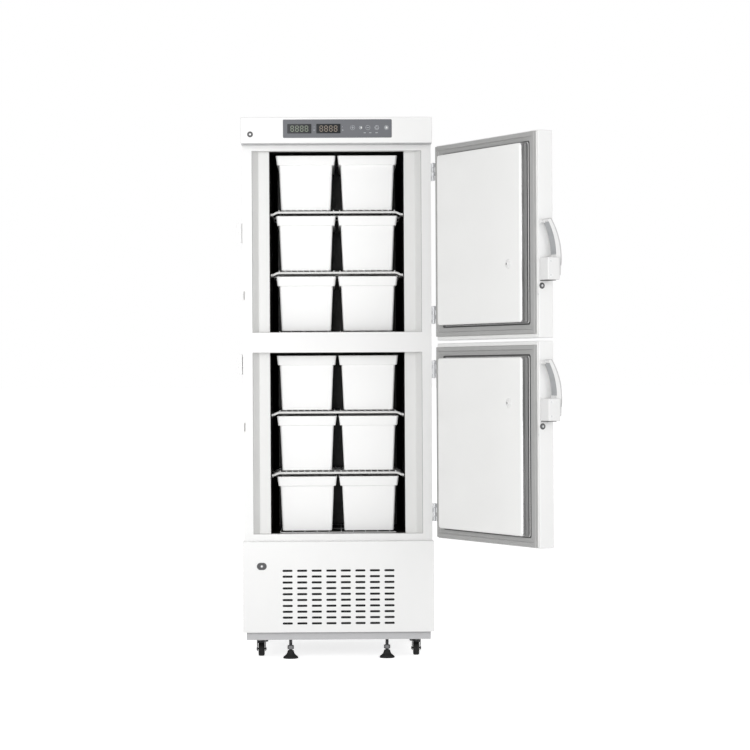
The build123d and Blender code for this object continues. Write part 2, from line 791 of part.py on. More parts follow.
def panel_bounds(name, grown=0.0):
    """The raised panel's corners in X and Z, as (x0, x1, z0, z1)."""
    z0 = DOOR_BOTTOMS[name]
    low = PANEL_MULLION_MARGIN if name == "upper" else PANEL_OUTER_MARGIN
    high = PANEL_OUTER_MARGIN if name == "upper" else PANEL_MULLION_MARGIN
    x0, x1 = DOOR_X0 + PANEL_SIDE_MARGIN, DOOR_X1 - PANEL_SIDE_MARGIN
    return x0 - grown, x1 + grown, z0 + low - grown, z0 + DOOR_H - high + grown


def panel_hollow(name, y0):
    """The inside of the raised panel, which the door's foam fills, from y0 on."""
    x0, x1, low, high = panel_bounds(name, -DOOR_LINER_T)
    top = DOOR_INNER_Y + PANEL_RISE - DOOR_LINER_T
    hollow = block(x0, x1, y0, top, low, high)
    return chamfer(edges_at_y(hollow, top), inside_cut(PANEL_EDGE, DOOR_LINER_T))


def door_core(name):
    z0 = DOOR_BOTTOMS[name]
    t = SHEET
    core = block(
        DOOR_X0 + t, DOOR_X1 - t, FACE_Y + t, DOOR_INNER_Y - t, z0 + t, z0 + DOOR_H - t
    )
    core = chamfer(edges_at_y(core, FACE_Y + t), inside_cut(DOOR_EDGE, t))
    plug = panel_hollow(name, DOOR_INNER_Y - t)
    w = DOOR_FLANGE_W
    back = block(
        DOOR_X0 + w, DOOR_X1 - w, DOOR_INNER_Y - t, DOOR_INNER_Y, z0 + w, z0 + DOOR_H - w
    )
    return core + plug + back - lock_hole(name) - bolt_hollow(name)


def bolt_hollow(name):
    """The space inside the door in which the bolt turns."""
    y, z = lock_centre(name)
    reach = BOLT_R + BOLT_SLOT_CLEAR
    x0 = DOOR_X0 + BOLT_INSET - BOLT_SLOT_CLEAR
    x1 = DOOR_X0 + BOLT_INSET + BOLT_T + BOLT_SLOT_CLEAR
    rise = BOLT_W / 2 + BOLT_SLOT_CLEAR
    return block(x0, x1, y - rise, DOOR_INNER_Y, z - reach, z + rise)


def door_liner(name):
    z0 = DOOR_BOTTOMS[name]
    margin = DOOR_FLANGE_W - 4.0
    flange = block(
        DOOR_X0 + margin, DOOR_X1 - margin,
        DOOR_INNER_Y, DOOR_INNER_Y + DOOR_LINER_T,
        z0 + GASKET_OUTER_MARGIN, z0 + DOOR_H - GASKET_OUTER_MARGIN,
    )
    x0, x1, low, high = panel_bounds(name)
    top = DOOR_INNER_Y + PANEL_RISE
    raised = block(x0, x1, DOOR_INNER_Y, top, low, high)
    raised = chamfer(edges_at_y(raised, top), PANEL_EDGE)
    t = DOOR_LINER_T
    hollow = panel_hollow(name, DOOR_INNER_Y - 1)
    port_x = DOOR_X0 + PORT_FROM_FREE_EDGE
    port_z = LATCH_CENTRES_Z[name] + PORT_ABOVE_LATCH
    port = rod_y(port_x, top - t, top + PORT_RISE, port_z, PORT_R)
    port = chamfer(edges_at_y(port, top + PORT_RISE), PORT_RISE / 2)
    port_hole = hole_y(port_x, top, top + PORT_RISE + 1, port_z, PORT_HOLE_R)
    return flange + raised - hollow + port - port_hole


def gasket(name):
    """A magnetic seal: a flat foot with a taller bulb along its outer edge."""
    z0 = DOOR_BOTTOMS[name]
    low = GASKET_MULLION_MARGIN if name == "upper" else GASKET_OUTER_MARGIN
    high = GASKET_OUTER_MARGIN if name == "upper" else GASKET_MULLION_MARGIN
    x0, x1 = DOOR_X0 + GASKET_SIDE_MARGIN, DOOR_X1 - GASKET_SIDE_MARGIN
    y0 = DOOR_INNER_Y + DOOR_LINER_T

    def ring(width, y_top):
        outer = block(x0, x1, y0, y_top, z0 + low, z0 + DOOR_H - high)
        hole = block(
            x0 + width, x1 - width, y0 - 1, y_top + 1, z0 + low + width, z0 + DOOR_H - high - width
        )
        return outer - hole

    return ring(GASKET_W, y0 + GASKET_BASE_T) + ring(GASKET_BULB_W, GASKET_FACE_Y)


# Hinges


def knuckle_spans(z, first):
    """The heights of every other knuckle of one hinge that is centred on z."""
    pitch = HINGE_H / KNUCKLES
    low = z - HINGE_H / 2
    spans = []
    for n in range(first, KNUCKLES, 2):
        spans.append((low + n * pitch + KNUCKLE_GAP / 2, low + (n + 1) * pitch - KNUCKLE_GAP / 2))
    return spans


def hinge_heights(name):
    z0 = DOOR_BOTTOMS[name]
    return [z0 + HINGE_INSET, z0 + DOOR_H - HINGE_INSET]


def cabinet_leaf(z):
    half = HINGE_H / 2
    web_y = PIN_Y + PIN_R
    leaf = block(HALF_W, HALF_W + LEAF_T, web_y, web_y + LEAF_L, z - half, z + half)
    pieces = [leaf, rod_z(PIN_X, PIN_Y, z - half, z + half, PIN_R)]
    for low, high in knuckle_spans(z, 0):
        pieces.append(rod_z(PIN_X, PIN_Y, low, high, KNUCKLE_R))
        pieces.append(block(HALF_W, PIN_X, web_y, web_y + LEAF_T, low, high))
    return grow(pieces)


def door_leaf(z):
    half = HINGE_H / 2
    web_y = PIN_Y - PIN_R
    leaf = block(DOOR_X1, DOOR_X1 + LEAF_T, web_y - LEAF_L, web_y, z - half, z + half)
    pieces = [leaf]
    for low, high in knuckle_spans(z, 1):
        pieces.append(rod_z(PIN_X, PIN_Y, low, high, KNUCKLE_R))
        pieces.append(block(DOOR_X1, PIN_X, web_y - LEAF_T, web_y, low, high))
    return grow(pieces) - hole_z(PIN_X, PIN_Y, z - half - 1, z + half + 1, PIN_R + RUN)


# Latch, lever and door lock, drawn on the closed door


def latch_box_y():
    """The front and back of the latch housing."""
    back = DOOR_INNER_Y - LATCH_SETBACK
    return back - LATCH_D, back


def lever_span_x():
    centre = DOOR_X0 - LATCH_W / 2
    return centre - LEVER_W / 2, centre + LEVER_W / 2


def lever_pin(name):
    """The lever's pivot, as (y, z)."""
    front, _ = latch_box_y()
    return front + LEVER_PIN_INSET, LATCH_CENTRES_Z[name] - LATCH_H / 2 + LEVER_PIN_RISE


def latch_housing(name):
    z = LATCH_CENTRES_Z[name]
    half = LATCH_H / 2
    front, back = latch_box_y()
    case = block(DOOR_X0 - LATCH_W, DOOR_X0, front, back, z - half, z + half)
    case = chamfer(case.edges().filter_by(Axis.Z).group_by(Axis.X)[0], LATCH_EDGE)
    left, right = lever_span_x()
    pin_y, pin_z = lever_pin(name)
    room = LEVER_BOSS_R + 2 * LEVER_CLEAR
    recess = block(
        left - LEVER_CLEAR, right + LEVER_CLEAR, front - 1, pin_y + room, pin_z - room, z + half + 1
    )
    pin = rod_x(left - 2 * LEVER_CLEAR, right + 2 * LEVER_CLEAR, pin_y, pin_z, LEVER_PIN_R)
    return case - recess + pin


def lock_sleeve(name):
    """The ring and sleeve of the door lock, set into the door's edge."""
    y, z = lock_centre(name)
    ring = rod_x(DOOR_X0 - LOCK_RING_T, DOOR_X0, y, z, LOCK_RING_R)
    sleeve = rod_x(DOOR_X0, DOOR_X0 + BOLT_INSET - BOLT_SLOT_CLEAR, y, z, LOCK_SLEEVE_R)
    bore = hole_x(DOOR_X0 - 2 * LOCK_RING_T, DOOR_X0 + BOLT_INSET, y, z, LOCK_R + RUN)
    return ring + sleeve - bore


def lever_profile(name):
    """The lever seen from the side: its corner points and the middle points of its two bows."""
    z = LATCH_CENTRES_Z[name]
    base = DOOR_INNER_Y
    pin_y, pin_z = lever_pin(name)
    return {
        "tip_out": (base - LEVER_TIP_OUT, z + LEVER_REACH),
        "bow_out": (base - LEVER_BOW_OUT, z + LEVER_BOW_SHARE * LEVER_REACH),
        "low_out": (base - LEVER_LOW_OUT, z + LEVER_LOW_RISE),
        "foot": (base - LEVER_FOOT_OUT, pin_z - 2.0),
        "heel": (pin_y, pin_z - 2.0),
        "low_in": (base - LEVER_LOW_IN, z + LEVER_THROAT_RISE),
        "bow_in": (base - LEVER_BOW_IN, z + LEVER_BOW_SHARE * LEVER_REACH),
        "tip_in": (base - LEVER_TIP_IN, z + LEVER_REACH - 4.0),
    }


def side_view(x0, x1, lines):
    """A prism along X from lines drawn in the side view, Y and Z."""
    plane = Plane(origin=(x0, 0, 0), x_dir=(0, 1, 0), z_dir=(1, 0, 0))
    return extrude(plane * make_face(lines), x1 - x0)


def lever_grip(name):
    at = lever_profile(name)
    x0, x1 = lever_span_x()
    lines = [
        ThreePointArc(at["tip_out"], at["bow_out"], at["low_out"]),
        Line(at["low_out"], at["foot"]),
        Line(at["foot"], at["heel"]),
        Line(at["heel"], at["low_in"]),
        ThreePointArc(at["low_in"], at["bow_in"], at["tip_in"]),
        Line(at["tip_in"], at["tip_out"]),
    ]
    return side_view(x0, x1, lines)


def lever_channel(name):
    """The hollow that makes the grip a channel, open towards the cabinet."""
    at = lever_profile(name)
    x0, x1 = lever_span_x()
    s = LEVER_SHELL
    top = (at["tip_out"][0] + s, at["tip_out"][1] - s)
    middle = (at["bow_out"][0] + s, at["bow_out"][1])
    low = (at["low_out"][0] + s, at["low_in"][1])
    low_edge = (at["low_in"][0] + s, low[1])
    top_edge = (at["tip_in"][0] + 2 * s, top[1])
    lines = [
        ThreePointArc(top, middle, low),
        Line(low, low_edge),
        Line(low_edge, top_edge),
        Line(top_edge, top),
    ]
    return side_view(x0 + LEVER_RIB, x1 - LEVER_RIB, lines)


def strike_plate_y():
    """The front and back of the strike's upright plate."""
    front = FRONT_Y + STRIKE_SETBACK
    return front, front + STRIKE_T


def hook_rest_z(name):
    """The height of the sill that the hook grips when the door is latched."""
    return LATCH_CENTRES_Z[name] + LEVER_REACH - HOOK_BELOW_TIP


def lever_hook(name):
    """The hook on the lever's inner rib, drawn where it grips the strike and turned back."""
    _, x1 = lever_span_x()
    x0 = x1 - LEVER_RIB
    plate_y0, plate_y1 = strike_plate_y()
    sill = hook_rest_z(name)
    tip_y = plate_y1 + HOOK_GAP + HOOK_T
    root_y = DOOR_INNER_Y
    arm = block(x0, x1, root_y, tip_y, sill + HOOK_GAP, sill + HOOK_GAP + HOOK_H)
    tooth = block(x0, x1, tip_y - HOOK_T, tip_y, sill - HOOK_BITE, sill + HOOK_GAP)
    pin_y, pin_z = lever_pin(name)
    turn = Pos(0, pin_y, pin_z) * Rot(LATCHED_ANGLE, 0, 0) * Pos(0, -pin_y, -pin_z)
    return turn * (arm + tooth)


def latch_lever(name):
    x0, x1 = lever_span_x()
    pin_y, pin_z = lever_pin(name)
    boss = rod_x(x0, x1, pin_y, pin_z, LEVER_BOSS_R)
    bore = hole_x(x0 - 1, x1 + 1, pin_y, pin_z, LEVER_PIN_R + RUN)
    grip = lever_grip(name) - lever_channel(name)
    return grip + boss + lever_hook(name) - bore


def latch_strike(name):
    """An angle on the cabinet's side whose upright plate has a window for the lever's hook."""
    middle = LATCH_CENTRES_Z[name] + STRIKE_ABOVE_LATCH
    z0, z1 = middle - STRIKE_H / 2, middle + STRIKE_H / 2
    y0, y1 = strike_plate_y()
    base = block(-HALF_W - STRIKE_T, -HALF_W, y0, y0 + STRIKE_BASE_D, z0, z1)
    plate = block(-HALF_W - STRIKE_OUT, -HALF_W, y0, y1, z0, z1)
    plate = chamfer(plate.edges().filter_by(Axis.Y).group_by(Axis.X)[0], 2 * STRIKE_T)
    _, hook_x1 = lever_span_x()
    sill = hook_rest_z(name)
    side = 1.5
    window = block(
        hook_x1 - LEVER_RIB - side, hook_x1 + side, y0 - 1, y1 + 1,
        sill, sill + HOOK_GAP + HOOK_H + HOOK_LIFT,
    )
    return base + plate - window


def lock_barrel(name):
    """The door lock's barrel, which faces sideways, with its hooked bolt hanging down."""
    y, z = lock_centre(name)
    face = DOOR_X0 - LOCK_RING_T - 1.0
    barrel = rod_x(face, DOOR_X0 + LOCK_LENGTH, y, z, LOCK_R)
    half_w, half_l = KEYWAY_W / 2, KEYWAY_L / 2
    keyway = block(face - 1, face + KEYWAY_DEPTH, y - half_w, y + half_w, z - half_l, z + half_l)
    return barrel - keyway + hooked_bolt(y, z)


def hooked_bolt(y, z):
    """A flat bolt whose tip curls past the cabinet's front sheet once it is turned."""
    x0 = DOOR_X0 + BOLT_INSET
    sheet_back = LOCK_SETBACK + DOOR_GAP + FRAME_T + HOOK_GAP
    tip = math.sqrt(BOLT_R ** 2 - BOLT_TIP_RISE ** 2)
    low = BOLT_W / 2
    nose = math.sqrt(BOLT_R ** 2 - low ** 2)
    outline = [
        Line((0, -low), (nose, -low)),
        ThreePointArc((nose, -low), (BOLT_R, 0), (tip, BOLT_TIP_RISE)),
        Line((tip, BOLT_TIP_RISE), (sheet_back, BOLT_TIP_RISE)),
        Line((sheet_back, BOLT_TIP_RISE), (sheet_back, low)),
        Line((sheet_back, low), (0, low)),
        Line((0, low), (0, -low)),
    ]
    locked = side_view(x0, x0 + BOLT_T, outline)
    return Pos(0, y, z) * Rot(-90, 0, 0) * locked


# Base, castors and feet


def base_frame():
    t = BASE_SHEET
    half = BASE_W / 2
    y0, y1 = FACE_Y + BASE_FRONT_SETBACK, BACK_Y - BASE_BACK_SETBACK
    tray = block(-half, half, y0, y1, BASE_Z, BASE_TOP_Z)
    tray -= block(-half + t, half - t, y0 + t, y1 - t, BASE_Z + t, BASE_TOP_Z + 1)
    flange = block(-HALF_W, HALF_W, FRONT_Y, BACK_Y - SHEET, BASE_TOP_Z - t, BASE_TOP_Z)
    flange -= block(-half, half, FRONT_Y - 1, y1, BASE_TOP_Z - t - 1, BASE_TOP_Z + 1)
    frame = tray + flange
    for x, y, _ in castor_places().values():
        side = PAD_SIDE / 2
        frame += block(x - side, x + side, y - side, y + side, BASE_FLOOR_Z, BASE_FLOOR_Z + PAD_T)
        frame -= hole_z(x, y, BASE_Z - 1, BASE_FLOOR_Z + PAD_T + 1, STEM_R + RUN)
    for x in (-FOOT_X, FOOT_X):
        frame -= hole_z(x, FOOT_Y, BASE_Z - 1, BASE_TOP_Z, FOOT_STUD_R + RUN)
    return frame


def castor_places():
    """Each castor's stem in plan, and which way its wheel trails."""
    return {
        "front_left": (-CASTOR_X, FRONT_CASTOR_Y, 1),
        "front_right": (CASTOR_X, FRONT_CASTOR_Y, 1),
        "rear_left": (-CASTOR_X, REAR_CASTOR_Y, -1),
        "rear_right": (CASTOR_X, REAR_CASTOR_Y, -1),
    }


def castor_fork(x, y, trail, braked):
    disc_z = BASE_Z - CASTOR_DISC_T
    wheel_y = y + trail * CASTOR_TRAIL
    inner = WHEEL_W / 2 + FORK_GAP
    pieces = [
        rod_z(x, y, disc_z, BASE_Z, CASTOR_DISC_R),
        rod_z(x, y, BASE_Z, BASE_FLOOR_Z + PAD_T, STEM_R),
        rod_x(x - inner - FORK_T, x + inner + FORK_T, wheel_y, WHEEL_R, AXLE_R),
    ]
    cheek_plane = Plane(origin=(x, 0, 0), x_dir=(0, 1, 0), z_dir=(1, 0, 0))
    r = WHEEL_R * 0.4
    outline = [
        (y - trail * 14.0, disc_z), (y + trail * 18.0, disc_z),
        (wheel_y + trail * r, WHEEL_R), (wheel_y, WHEEL_R - r), (wheel_y - trail * r, WHEEL_R),
    ]
    cheek = extrude(cheek_plane * make_face(Polyline(*outline, close=True)), FORK_T)
    pieces.append(Pos(inner, 0, 0) * cheek)
    pieces.append(Pos(-inner - FORK_T, 0, 0) * cheek)
    roof = inner + FORK_T
    pieces.append(block(x - roof, x + roof, y - 14.0, y + 14.0, disc_z - 2.0, disc_z))
    if braked:
        y0, y1 = sorted((y - trail * 14.0, y - trail * 30.0))
        pieces.append(block(x - roof, x + roof, y0, y1, disc_z - 8.0, disc_z - 4.0))
        pieces.append(block(x - roof, x + roof, y - 14.0, y - 12.0, disc_z - 8.0, disc_z))
    return grow(pieces)


def castor_wheel(x, y, trail):
    wheel_y = y + trail * CASTOR_TRAIL
    wheel = Pos(x, wheel_y, WHEEL_R) * Rot(0, 90, 0) * Cylinder(WHEEL_R, WHEEL_W)
    return wheel - hole_x(x - WHEEL_W, x + WHEEL_W, wheel_y, WHEEL_R, AXLE_R + RUN)


def levelling_foot(x):
    """A bell-shaped pad with its stud and lock nut."""
    outline = [
        (FOOT_R, 0), (FOOT_R, 0.15 * FOOT_H), (0.65 * FOOT_R, 0.45 * FOOT_H),
        (FOOT_NECK_R, FOOT_H), (FOOT_STUD_R, FOOT_H), (FOOT_STUD_R, FOOT_STUD_TOP),
    ]
    nut = extrude(
        Pos(0, 0, FOOT_H + FOOT_NUT_GAP) * RegularPolygon(FOOT_NUT_AF / 2, 6, major_radius=False),
        FOOT_NUT_H,
    )
    return Pos(x, FOOT_Y, 0) * (turned(outline) + nut)


# Cooling unit


def compressor():
    """A welded pot with a domed lid on four rubber feet, its terminal box and its pipe stub."""
    r, top = COMPRESSOR_R, COMPRESSOR_H
    foot = COMPRESSOR_FOOT_H
    outline = [
        (0.65 * r, foot), (r, foot + 0.35 * r), (r, top - 0.45 * r), (0.8 * r, top - 0.15 * r), (0.4 * r, top)
    ]
    wide, deep = r + 12, 0.7 * r
    whole = turned(outline) + block(-wide, wide, -deep, deep, foot - 4, foot + 2)
    for x in (r, -r):
        for y in (0.55 * r, -0.55 * r):
            whole += block(x - 8, x + 8, y - 8, y + 8, 0, foot - 4)
    whole += rod_y(0, 0.8 * r, r + 26, 0.6 * top, 5.0)
    whole += block(0.8 * r, r + 22, -28, 28, 0.35 * top, 0.68 * top)
    return Pos(COMPRESSOR_X, COMPRESSOR_Y, BASE_FLOOR_Z) * whole


def fan_centre():
    return CONDENSER_X, BASE_FLOOR_Z + CONDENSER_H / 2


def condenser_block():
    """A finned coil: end plates, a grooved stack of fins, and the coil's return bends."""
    half = CONDENSER_W / 2
    y0, y1 = CONDENSER_Y, CONDENSER_Y + CONDENSER_D
    z0, z1 = BASE_FLOOR_Z, BASE_FLOOR_Z + CONDENSER_H
    inset = 5.0
    coil = block(CONDENSER_X - half, CONDENSER_X + half, y0 + inset, y1 - inset, z0 + inset, z1 - inset)
    grooves = []
    for x in spread(CONDENSER_X - half + 12, CONDENSER_X + half - 12, CONDENSER_FINS):
        grooves.append(block(x - 4, x + 4, y0, y0 + 3 * inset, z0 + 3 * inset, z1 - 3 * inset))
    coil = coil.cut(*grooves)
    for x in (CONDENSER_X - half, CONDENSER_X + half - PLATE_T):
        coil += block(x, x + PLATE_T, y0, y1, z0, z1)
    for side in (1, -1):
        for z in spread(z0 + 0.25 * CONDENSER_H, z1 - 0.25 * CONDENSER_H, CONDENSER_BENDS):
            x = CONDENSER_X + side * half
            x0, x1 = sorted((x, x + side * CONDENSER_TUBE_R * 2))
            middle = CONDENSER_Y + CONDENSER_D / 2
            coil += block(x0, x1, middle - CONDENSER_TUBE_R, middle + CONDENSER_TUBE_R, z - 24, z + 24)
    return coil


def fan_plane_y():
    """Where the fan starts behind its shroud plate."""
    return CONDENSER_Y + CONDENSER_D + 3.0


def fan_shroud_and_motor():
    """A shroud plate with its ring, and the fan's motor held behind it on two crossed arms."""
    x, z = fan_centre()
    y0 = CONDENSER_Y + CONDENSER_D
    half = CONDENSER_W / 2
    plate = block(x - half, x + half, y0, y0 + PLATE_T, BASE_FLOOR_Z, BASE_FLOOR_Z + CONDENSER_H)
    inner_r = FAN_R + FAN_TIP_GAP
    motor_y = fan_plane_y() + FAN_DEPTH + 6
    ring = shroud_tube(inner_r + PLATE_T, y0, motor_y)
    bore = shroud_tube(inner_r, y0 - 1, motor_y + 1)
    motor = rod_y(x, motor_y, motor_y + MOTOR_L, z, MOTOR_R)
    motor = chamfer(edges_at_y(motor, motor_y + MOTOR_L), 5.0)
    shaft = rod_y(x, fan_plane_y(), motor_y + 1, z, SHAFT_R)
    reach = inner_r + PLATE_T
    arm = block(-reach, reach, motor_y, motor_y + 3.0, -6.0, 6.0)
    arms = [Pos(x, 0, z) * Rot(0, angle, 0) * arm for angle in (45, -45)]
    return plate + ring - bore + motor + shaft + arms[0] + arms[1]


def shroud_tube(r, y0, y1):
    """A many-sided prism about the fan's axis."""
    x, z = fan_centre()
    plane = Plane(origin=(x, y0, z), x_dir=(1, 0, 0), z_dir=(0, 1, 0))
    return extrude(plane * RegularPolygon(r, 24, major_radius=False), y1 - y0)


def fan_blades():
    """A hub with pitched blades on the motor's shaft."""
    x, z = fan_centre()
    y0 = fan_plane_y() + 1.0
    hub = rod_y(0, 0, FAN_DEPTH, 0, FAN_HUB_R)
    blade = block(FAN_HUB_R - 3, FAN_R, -1.0, 1.0, -24.0, 24.0)
    blade = Pos(0, FAN_DEPTH / 2, 0) * Rot(24, 0, 0) * blade
    blades = [Rot(0, n * 360 / FAN_BLADES, 0) * blade for n in range(FAN_BLADES)]
    rotor = grow([hub] + blades) - hole_y(0, -1, FAN_DEPTH + 1, 0, SHAFT_R + RUN)
    return Pos(x, y0, z) * rotor


def build_cabinet():
    save("cabinet_wrap", cabinet_wrap())
    save("rear_panel", rear_panel())
    save("front_frame", front_frame())
    save("compressor_deck", compressor_deck())
    save("foam_body", foam_body())
    for name, z in OPENING_BOTTOMS.items():
        save(f"{name}_liner", liner(z))
        save(f"{name}_shelves", *shelf_set(z))
    save("throat_frames", *[throat_frame(z) for z in OPENING_BOTTOMS.values()])
    save("control_fascia", control_fascia())
    save("control_overlay", control_overlay())
    save("display_windows", *display_windows())
    save("lock_bezels", key_switch_bezel(), panel_lock_bezel())
    save("key_switch_barrel", face_barrel(KEY_SWITCH_X, KEY_SWITCH_Z))
    save("panel_lock_barrel", face_barrel(PANEL_LOCK_X, PANEL_LOCK_Z))
    save("grille_panel", grille_panel())
    heights = [z for name in DOOR_BOTTOMS for z in hinge_heights(name)]
    save("cabinet_hinge_leaves", *[cabinet_leaf(z) for z in heights])
    save("latch_strikes", *[latch_strike(name) for name in DOOR_BOTTOMS])


def build_base():
    save("base_frame", base_frame())
    rear_forks = []
    for name, (x, y, trail) in castor_places().items():
        save(f"{name}_castor_wheel", castor_wheel(x, y, trail))
        fork = castor_fork(x, y, trail, name.startswith("front"))
        if name.startswith("front"):
            save(f"{name}_castor_fork", fork)
        else:
            rear_forks.append(fork)
    save("rear_castor_forks", *rear_forks)
    save("left_levelling_foot", levelling_foot(-FOOT_X))
    save("right_levelling_foot", levelling_foot(FOOT_X))
    save("compressor", compressor())
    save("condenser_unit", condenser_block(), fan_shroud_and_motor())
    save("fan_blades", fan_blades())


def build_bins():
    shape = storage_bin()
    for name, place in bin_places().items():
        save(name, Pos(*place) * shape)


def build_doors():
    for name in DOOR_BOTTOMS:
        save(f"{name}_door_skin", swing(door_skin(name)))
        save(f"{name}_door_core", swing(door_core(name)))
        save(f"{name}_door_liner", swing(door_liner(name)))
        save(f"{name}_door_gasket", swing(gasket(name)))
        save(f"{name}_door_hinge_leaves", *[swing(door_leaf(z)) for z in hinge_heights(name)])
        save(f"{name}_latch_housing", swing(latch_housing(name)), swing(lock_sleeve(name)))
        save(f"{name}_latch_lever", swing(latch_lever(name)))
        save(f"{name}_lock_barrel", swing(lock_barrel(name)))


os.makedirs("parts", exist_ok=True)
build_cabinet()
build_base()
build_bins()
build_doors()
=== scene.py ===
# %% [markdown]
# # Laboratory freezer with two open doors
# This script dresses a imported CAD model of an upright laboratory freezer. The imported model
# gives every piece its place and size, and the cells below add the rounded edges, wires,
# mouldings, castors and finishes that the camera sees. Each cell treats one piece or one finish.

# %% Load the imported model
import math

import bmesh
import bpy
from mathutils import Matrix, Vector


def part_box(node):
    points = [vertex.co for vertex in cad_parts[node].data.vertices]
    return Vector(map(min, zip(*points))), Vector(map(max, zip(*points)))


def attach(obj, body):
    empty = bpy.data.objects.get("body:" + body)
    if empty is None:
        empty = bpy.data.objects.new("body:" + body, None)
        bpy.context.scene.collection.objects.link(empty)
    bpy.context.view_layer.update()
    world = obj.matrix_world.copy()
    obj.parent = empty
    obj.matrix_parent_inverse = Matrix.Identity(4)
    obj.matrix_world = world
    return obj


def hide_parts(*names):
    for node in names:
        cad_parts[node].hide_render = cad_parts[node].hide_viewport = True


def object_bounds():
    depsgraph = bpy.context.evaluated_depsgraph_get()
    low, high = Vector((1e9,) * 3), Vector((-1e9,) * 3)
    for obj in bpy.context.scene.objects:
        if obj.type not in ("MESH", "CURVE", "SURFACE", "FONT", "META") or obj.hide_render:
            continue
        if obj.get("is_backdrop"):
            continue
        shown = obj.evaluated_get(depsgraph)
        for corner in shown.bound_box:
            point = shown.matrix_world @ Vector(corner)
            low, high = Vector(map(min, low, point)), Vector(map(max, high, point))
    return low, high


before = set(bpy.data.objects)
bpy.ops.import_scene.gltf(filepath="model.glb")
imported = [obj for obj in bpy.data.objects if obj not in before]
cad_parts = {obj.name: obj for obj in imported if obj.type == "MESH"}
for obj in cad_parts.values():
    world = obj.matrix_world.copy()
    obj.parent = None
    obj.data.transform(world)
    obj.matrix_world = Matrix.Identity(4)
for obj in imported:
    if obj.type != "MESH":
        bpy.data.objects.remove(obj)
cad_low, cad_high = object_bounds()

# %% [markdown]
# ## Sizes
# A maker's drawing starts with the sizes that every piece shares. These are in metres, in the
# same frame as the CAD: the floor under the cabinet's middle is the origin, +X is right,
# +Y is back and +Z is up.

# %% Shared sizes
MM = 0.001
CABINET_HALF = 330 * MM
FRONT_Y = -300 * MM
BACK_Y = 300 * MM
TOP_Z = 1882 * MM
FACE_Y = -367 * MM
DOOR_BACK_Y = -312 * MM
PANEL_HALF = 332.5 * MM
COMPARTMENTS = {"upper": 1136 * MM, "lower": 431 * MM}
OPENING_HALF, OPENING_HEIGHT = 296 * MM, 635 * MM
DOOR_LOWS = {"upper": 1105 * MM, "lower": 415 * MM}
DOOR_HEIGHT = 680 * MM
DOOR_LEFT, DOOR_RIGHT = -330 * MM, 328 * MM
LATCH_HEIGHTS = {"upper": 1330 * MM, "lower": 870 * MM}
HINGE_PIN = Vector((338 * MM, -304 * MM, 0))
OPEN_ANGLE = math.radians(118)
SWING = (
    Matrix.Translation(HINGE_PIN)
    @ Matrix.Rotation(OPEN_ANGLE, 4, "Z")
    @ Matrix.Translation(-HINGE_PIN)
)
print("cabinet", round(2 * CABINET_HALF, 3), "m wide and", round(TOP_Z, 3), "m high")

# %% [markdown]
# ## Mesh helpers
# Sheet metal and mouldings have small rounded edges that catch the light. A bmesh is filled
# with faces, its sharp edges are bevelled, and the faces are shaded smooth with a weighted
# normal, so that flat areas stay flat beside the small rounds.

# %% Turn a bmesh into a piece
SHARP = math.radians(32)

def add_piece(name, bm, material, body, stands_for=(), round_by=0.0, steps=3, matrix=None):
    """Makes one object of the model from a bmesh and gives it to a body."""
    bmesh.ops.remove_doubles(bm, verts=bm.verts, dist=1e-6)
    bmesh.ops.recalc_face_normals(bm, faces=bm.faces)
    if round_by:
        edges = [e for e in bm.edges if e.is_manifold and e.calc_face_angle(0) > SHARP]
        bmesh.ops.bevel(
            bm, geom=edges, offset=round_by, segments=steps, profile=0.5,
            affect="EDGES", clamp_overlap=True,
        )
    for face in bm.faces:
        face.smooth = True
    for edge in bm.edges:
        edge.smooth = not edge.is_manifold or edge.calc_face_angle(0) < SHARP
    if matrix is not None:
        bm.transform(matrix)
    mesh = bpy.data.meshes.new(name)
    bm.to_mesh(mesh)
    bm.free()
    return add_mesh(name, mesh, material, body, stands_for)


def add_mesh(name, mesh, material, body, stands_for=()):
    """Wraps a finished mesh in an object with its finish, its body and the nodes it stands for."""
    mesh.materials.clear()
    mesh.materials.append(material)
    made = bpy.data.objects.new(name.replace(" ", "_"), mesh)
    bpy.context.scene.collection.objects.link(made)
    made.modifiers.new("even shading", "WEIGHTED_NORMAL").keep_sharp = True
    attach(made, body)
    if stands_for:
        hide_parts(*stands_for)
    return made


# %% [markdown]
# Most pieces of a cabinet are boxes, outlines that are pushed or stacked, and shapes that a
# lathe would turn. Modifiers could do the same, but a bmesh holds many such parts at once, so a
# bracket and its screws become one piece. Meshes that curves made are joined in the same way.

# %% Boxes, stacked outlines and turned shapes
def add_box(bm, low, high):
    """Adds a closed box between two corners."""
    size = [b - a for a, b in zip(low, high)]
    middle = [(a + b) / 2 for a, b in zip(low, high)]
    matrix = Matrix.Translation(middle) @ Matrix.Diagonal((*size, 1))
    bmesh.ops.create_cube(bm, size=1, matrix=matrix)


def stack_rings(bm, rings, caps=(True, True), closed=False):
    """Joins outlines that have the same number of points, one after the other."""
    loops = [[bm.verts.new(point) for point in ring] for ring in rings]
    pairs = list(zip(loops, loops[1:]))
    if closed:
        pairs.append((loops[-1], loops[0]))
    for first, second in pairs:
        for n in range(len(first)):
            m = (n + 1) % len(first)
            bm.faces.new((first[n], first[m], second[m], second[n]))
    if caps[0] and not closed:
        bm.faces.new(list(reversed(loops[0])))
    if caps[1] and not closed:
        bm.faces.new(loops[-1])


def rounded_outline(half_u, half_v, r, steps=6):
    """Points round a rectangle with rounded corners, about its own centre."""
    points = []
    corners = ((1, 1, 0), (-1, 1, 90), (-1, -1, 180), (1, -1, 270))
    for side_u, side_v, start in corners:
        for n in range(steps + 1):
            angle = math.radians(start + 90 * n / steps)
            points.append((
                side_u * (half_u - r) + r * math.cos(angle),
                side_v * (half_v - r) + r * math.sin(angle),
            ))
    return points


